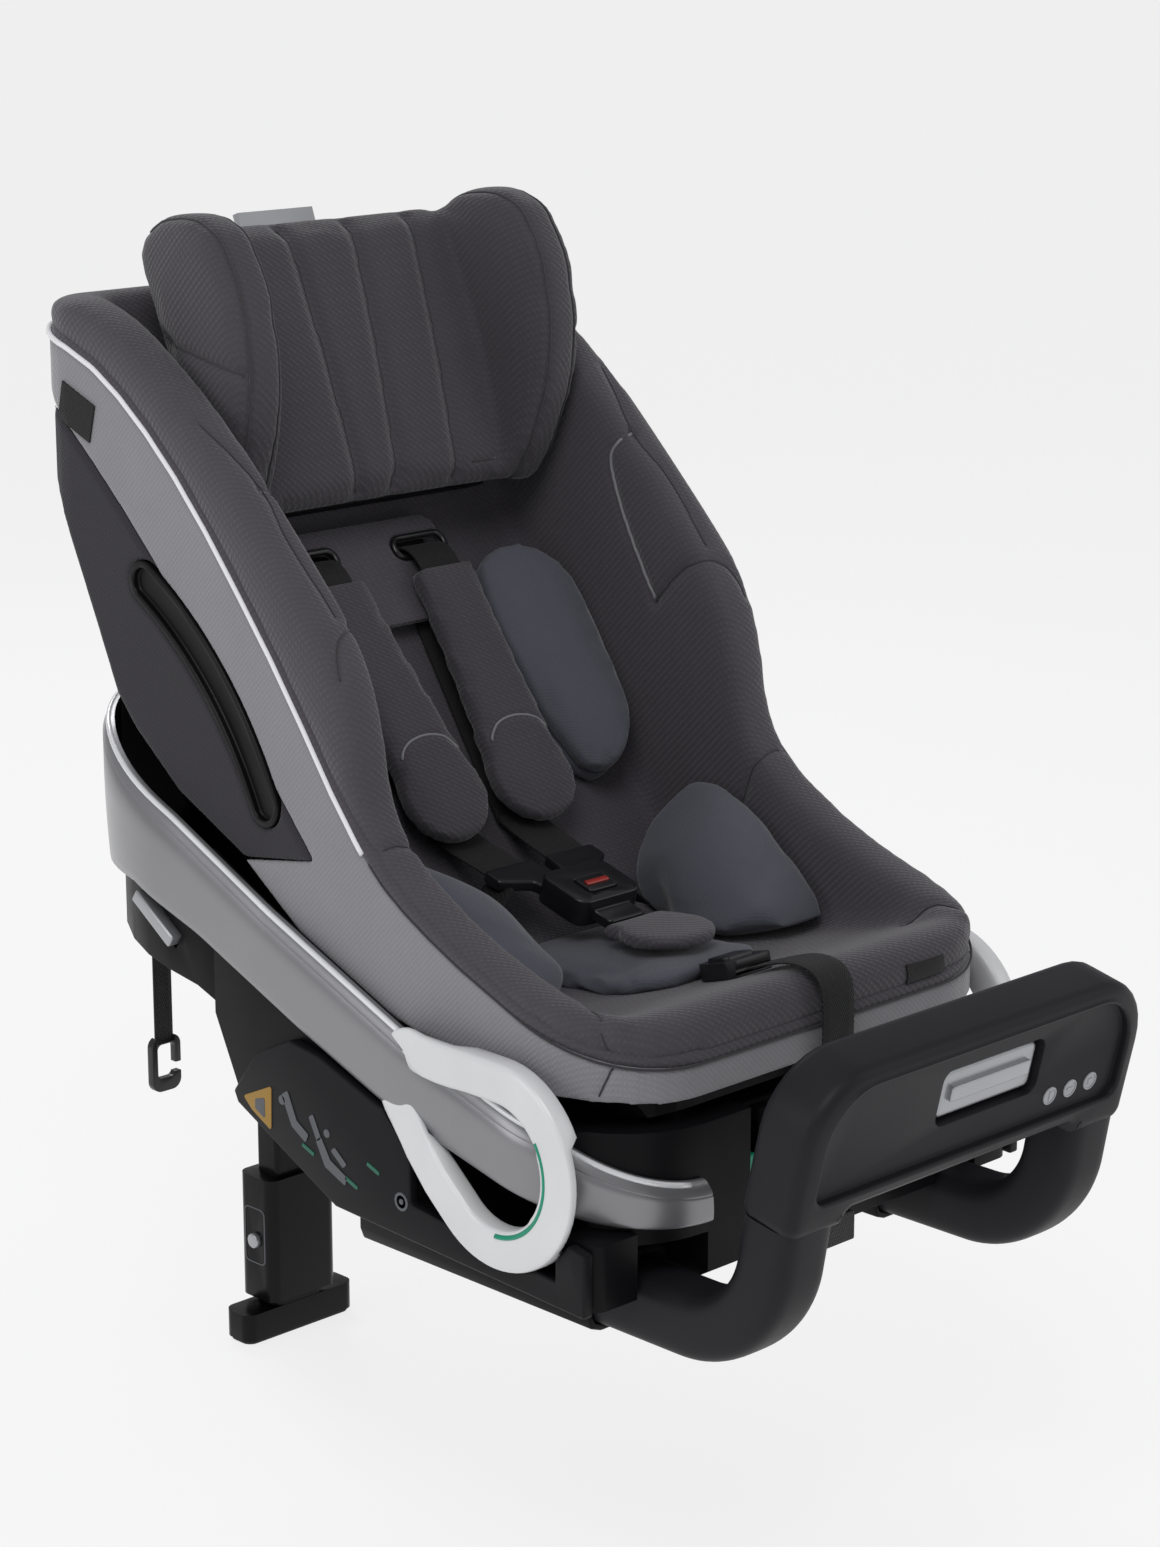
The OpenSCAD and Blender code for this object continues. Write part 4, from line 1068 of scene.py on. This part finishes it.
def make_arms():
    foot_y, foot_z = PANEL_O
    rise = foot_z - ARM_Z - ARM_BEND * (1 - math.sin(ARM_LEAN))
    bend_y = foot_y + ARM_BEND * math.cos(ARM_LEAN) + rise * math.tan(ARM_LEAN)
    centre = Vector((0, bend_y, ARM_Z + ARM_BEND))
    for label, s in SIDES:
        x = Vector((s * ARM_X, 0, 0))
        path = [x + Vector((0, y, ARM_Z)) for y in np.linspace(ARM_START, bend_y, 40)]
        path += [x + centre + ARM_BEND * Vector((0, -math.sin(a), -math.cos(a)))
                 for a in np.linspace(0, math.pi / 2 - ARM_LEAN, 24)[1:]]
        top = x + Vector((0, foot_y + 4 * MM * math.sin(ARM_LEAN), foot_z + 4 * MM))
        start = path[-1]
        path += [start.lerp(top, t) for t in (0.25, 0.5, 0.75, 1.0)]
        arm = sweep("rebound_arm_shaped_" + label, path, rounded_section(46 * MM, 44 * MM, 4, 48), side=ACROSS)
        turned_out(arm)
        finish_piece(arm, "rebound", "bar_plastic", nodes=["rebound_arm_" + label], sharp=SHARP_BAR)


# The panel's outline and its frame's, with their corner radii
PANEL = [(-165, 0), (-115, 0), (-109, 10), (109, 10), (115, 0), (165, 0), (165, 112), (-165, 112)]
PANEL_RADII = (12, 4, 6, 6, 4, 12, 50, 50)
FRAME, FRAME_RADII = [(-148, 24), (148, 24), (148, 100), (-148, 100)], (10, 10, 38, 38)
# The frame's rim and the pocket in the panel: each step's inset and height
RIM_STEPS = ((-2.2, 23), (-1, 22.7), (-0.2, 21.8), (0, 20.5), (0, 17.2), (1.2, 16.6))
POCKET_STEPS = ((-1.4, 16.6), (-0.4, 16.2), (0, 15), (0, -16))
# The release handle's middle, and the discs' height, first place and spacing
RELEASE = (14 * MM, 66 * MM)
DISC_U, DISC_X, DISC_GAP = 38 * MM, 82 * MM, 21 * MM


def make_rebound_panel():
    outline = rounded_outline(from_mm(PANEL), [r * MM for r in PANEL_RADII])
    frame_hole = rounded_outline(from_mm(FRAME), [r * MM for r in FRAME_RADII])
    pocket = box_outline(0.1, 0.04, 0.008, *RELEASE)
    outer = walls(outline, -23, 21.5, start=9, end=9, steps=6)
    rim = [(inset(frame_hole, d * MM), n * MM) for d, n in RIM_STEPS]
    hollow = [(inset(pocket, d * MM), n * MM) for d, n in POCKET_STEPS]
    panel = stack("rebound_panel_shaped", on_panel, outer, rim, hollow)
    finish_piece(panel, "rebound", "bar_plastic", nodes=["rebound_panel", "panel_face"], sharp=SHARP_PANEL)
    handle = box_outline(0.094, 0.034, 0.006, *RELEASE)
    grip = stack("release_handle_shaped", on_panel,
                 walls(handle, -7, 13, start=1.5, end=3.5),
                 walls(box_outline(0.078, 0.011, 0.002, 0.014, 0.067), 13, 16.5, end=1.2))
    finish_piece(grip, "release_handle", "silver_plastic", nodes=["release_handle"], sharp=SHARP_PANEL)
    for i in range(3):
        middle = (DISC_X + DISC_GAP * i, DISC_U)
        outside, inside = box_outline(0.0128, 0.0128, 0.00639, *middle), box_outline(0.0106, 0.0106, 0.00529, *middle)
        disc = walls(outside, 16.2, 17.6, end=0.4, steps=2), walls(inside, 17.6, 17)
        disc = stack(f"icon_disc_{i}", on_panel, *disc)
        finish_piece(disc, "rebound", "icon_grey", nodes=["icon_discs"], sharp=SHARP)
        width, height = ((0.002, 0.0066), (0.0066, 0.002), (0.0044, 0.0044))[i]
        bar = box_outline(width, height, 0.0008, *middle)
        mark = stack(f"icon_mark_{i}", on_panel, walls(bar, 16.8, 17.7, end=0.2, steps=2))
        finish_piece(mark, "rebound", "icon_grey", sharp=SHARP)


make_arms()
make_rebound_panel()

# ---- Support leg ----


def make_leg():
    eased("leg_housing", "leg_tube", "leg", "leg_plastic", 2.4, 4)
    eased("leg_round_button", "leg_button", "leg_button", "silver_plastic", 1.4)
    eased("leg_inner_profile", "leg_inner_tube", "foot", "leg_inner", 0.6, 2)
    eased("leg_foot_bar", "leg_foot", "foot", "leg_plastic", 2.2, 4)
    eased("leg_foot_pad", "foot_sole", "foot", "sole_rubber", 0.9)
    outline = box_outline(24 * MM, 46 * MM, 5 * MM, 325 * MM, -98 * MM)
    edge = stack("label_outline", flat_on_side(-33 * MM), walls(outline, -0.4, 0.5, end=0.2, steps=2),
                 walls(inset(outline, 1.0 * MM), 0.5, -0.2))
    finish_piece(edge, "leg", "icon_grey", PICTURE, sharp=SHARP)


make_leg()

# ---- Woven tags ----

TAG_STEPS = 7


def make_tag(name, surface, corners, body):
    """A plain black woven tag, sewn on along its edges."""
    n = TAG_STEPS
    a, b, c, d = (Vector(p) for p in corners)
    grid = [a.lerp(b, i / n).lerp(d.lerp(c, i / n), j / n) for j in range(n + 1) for i in range(n + 1)]
    laid = lay_on(surface, grid, 0.9 * MM)
    faces = [(k, k + 1, k + n + 2, k + n + 1) for k in (j * (n + 1) + i for j in range(n) for i in range(n))]
    tag = mesh_object(name, laid, faces)
    turned_out(tag)
    modify(tag, "SOLIDIFY", thickness=1.2 * MM, offset=0)
    finish_piece(tag, body, "webbing", TAG, sharp=SHARP_CLOTH)


make_tag("woven_tag_side", bpy.data.objects["silver_fabric_cover"],
         [(-RIM_X, 0.305, 0.586), (-RIM_X, 0.269, 0.572), (-RIM_X, 0.276, 0.546), (-RIM_X, 0.312, 0.56)], "seat")
make_tag("woven_tag_front", bpy.data.objects["seat_upholstery"],
         [(0.08, -0.236, 0.224), (0.119, -0.236, 0.222), (0.121, -0.236, 0.205), (0.08, -0.236, 0.206)], "seat")
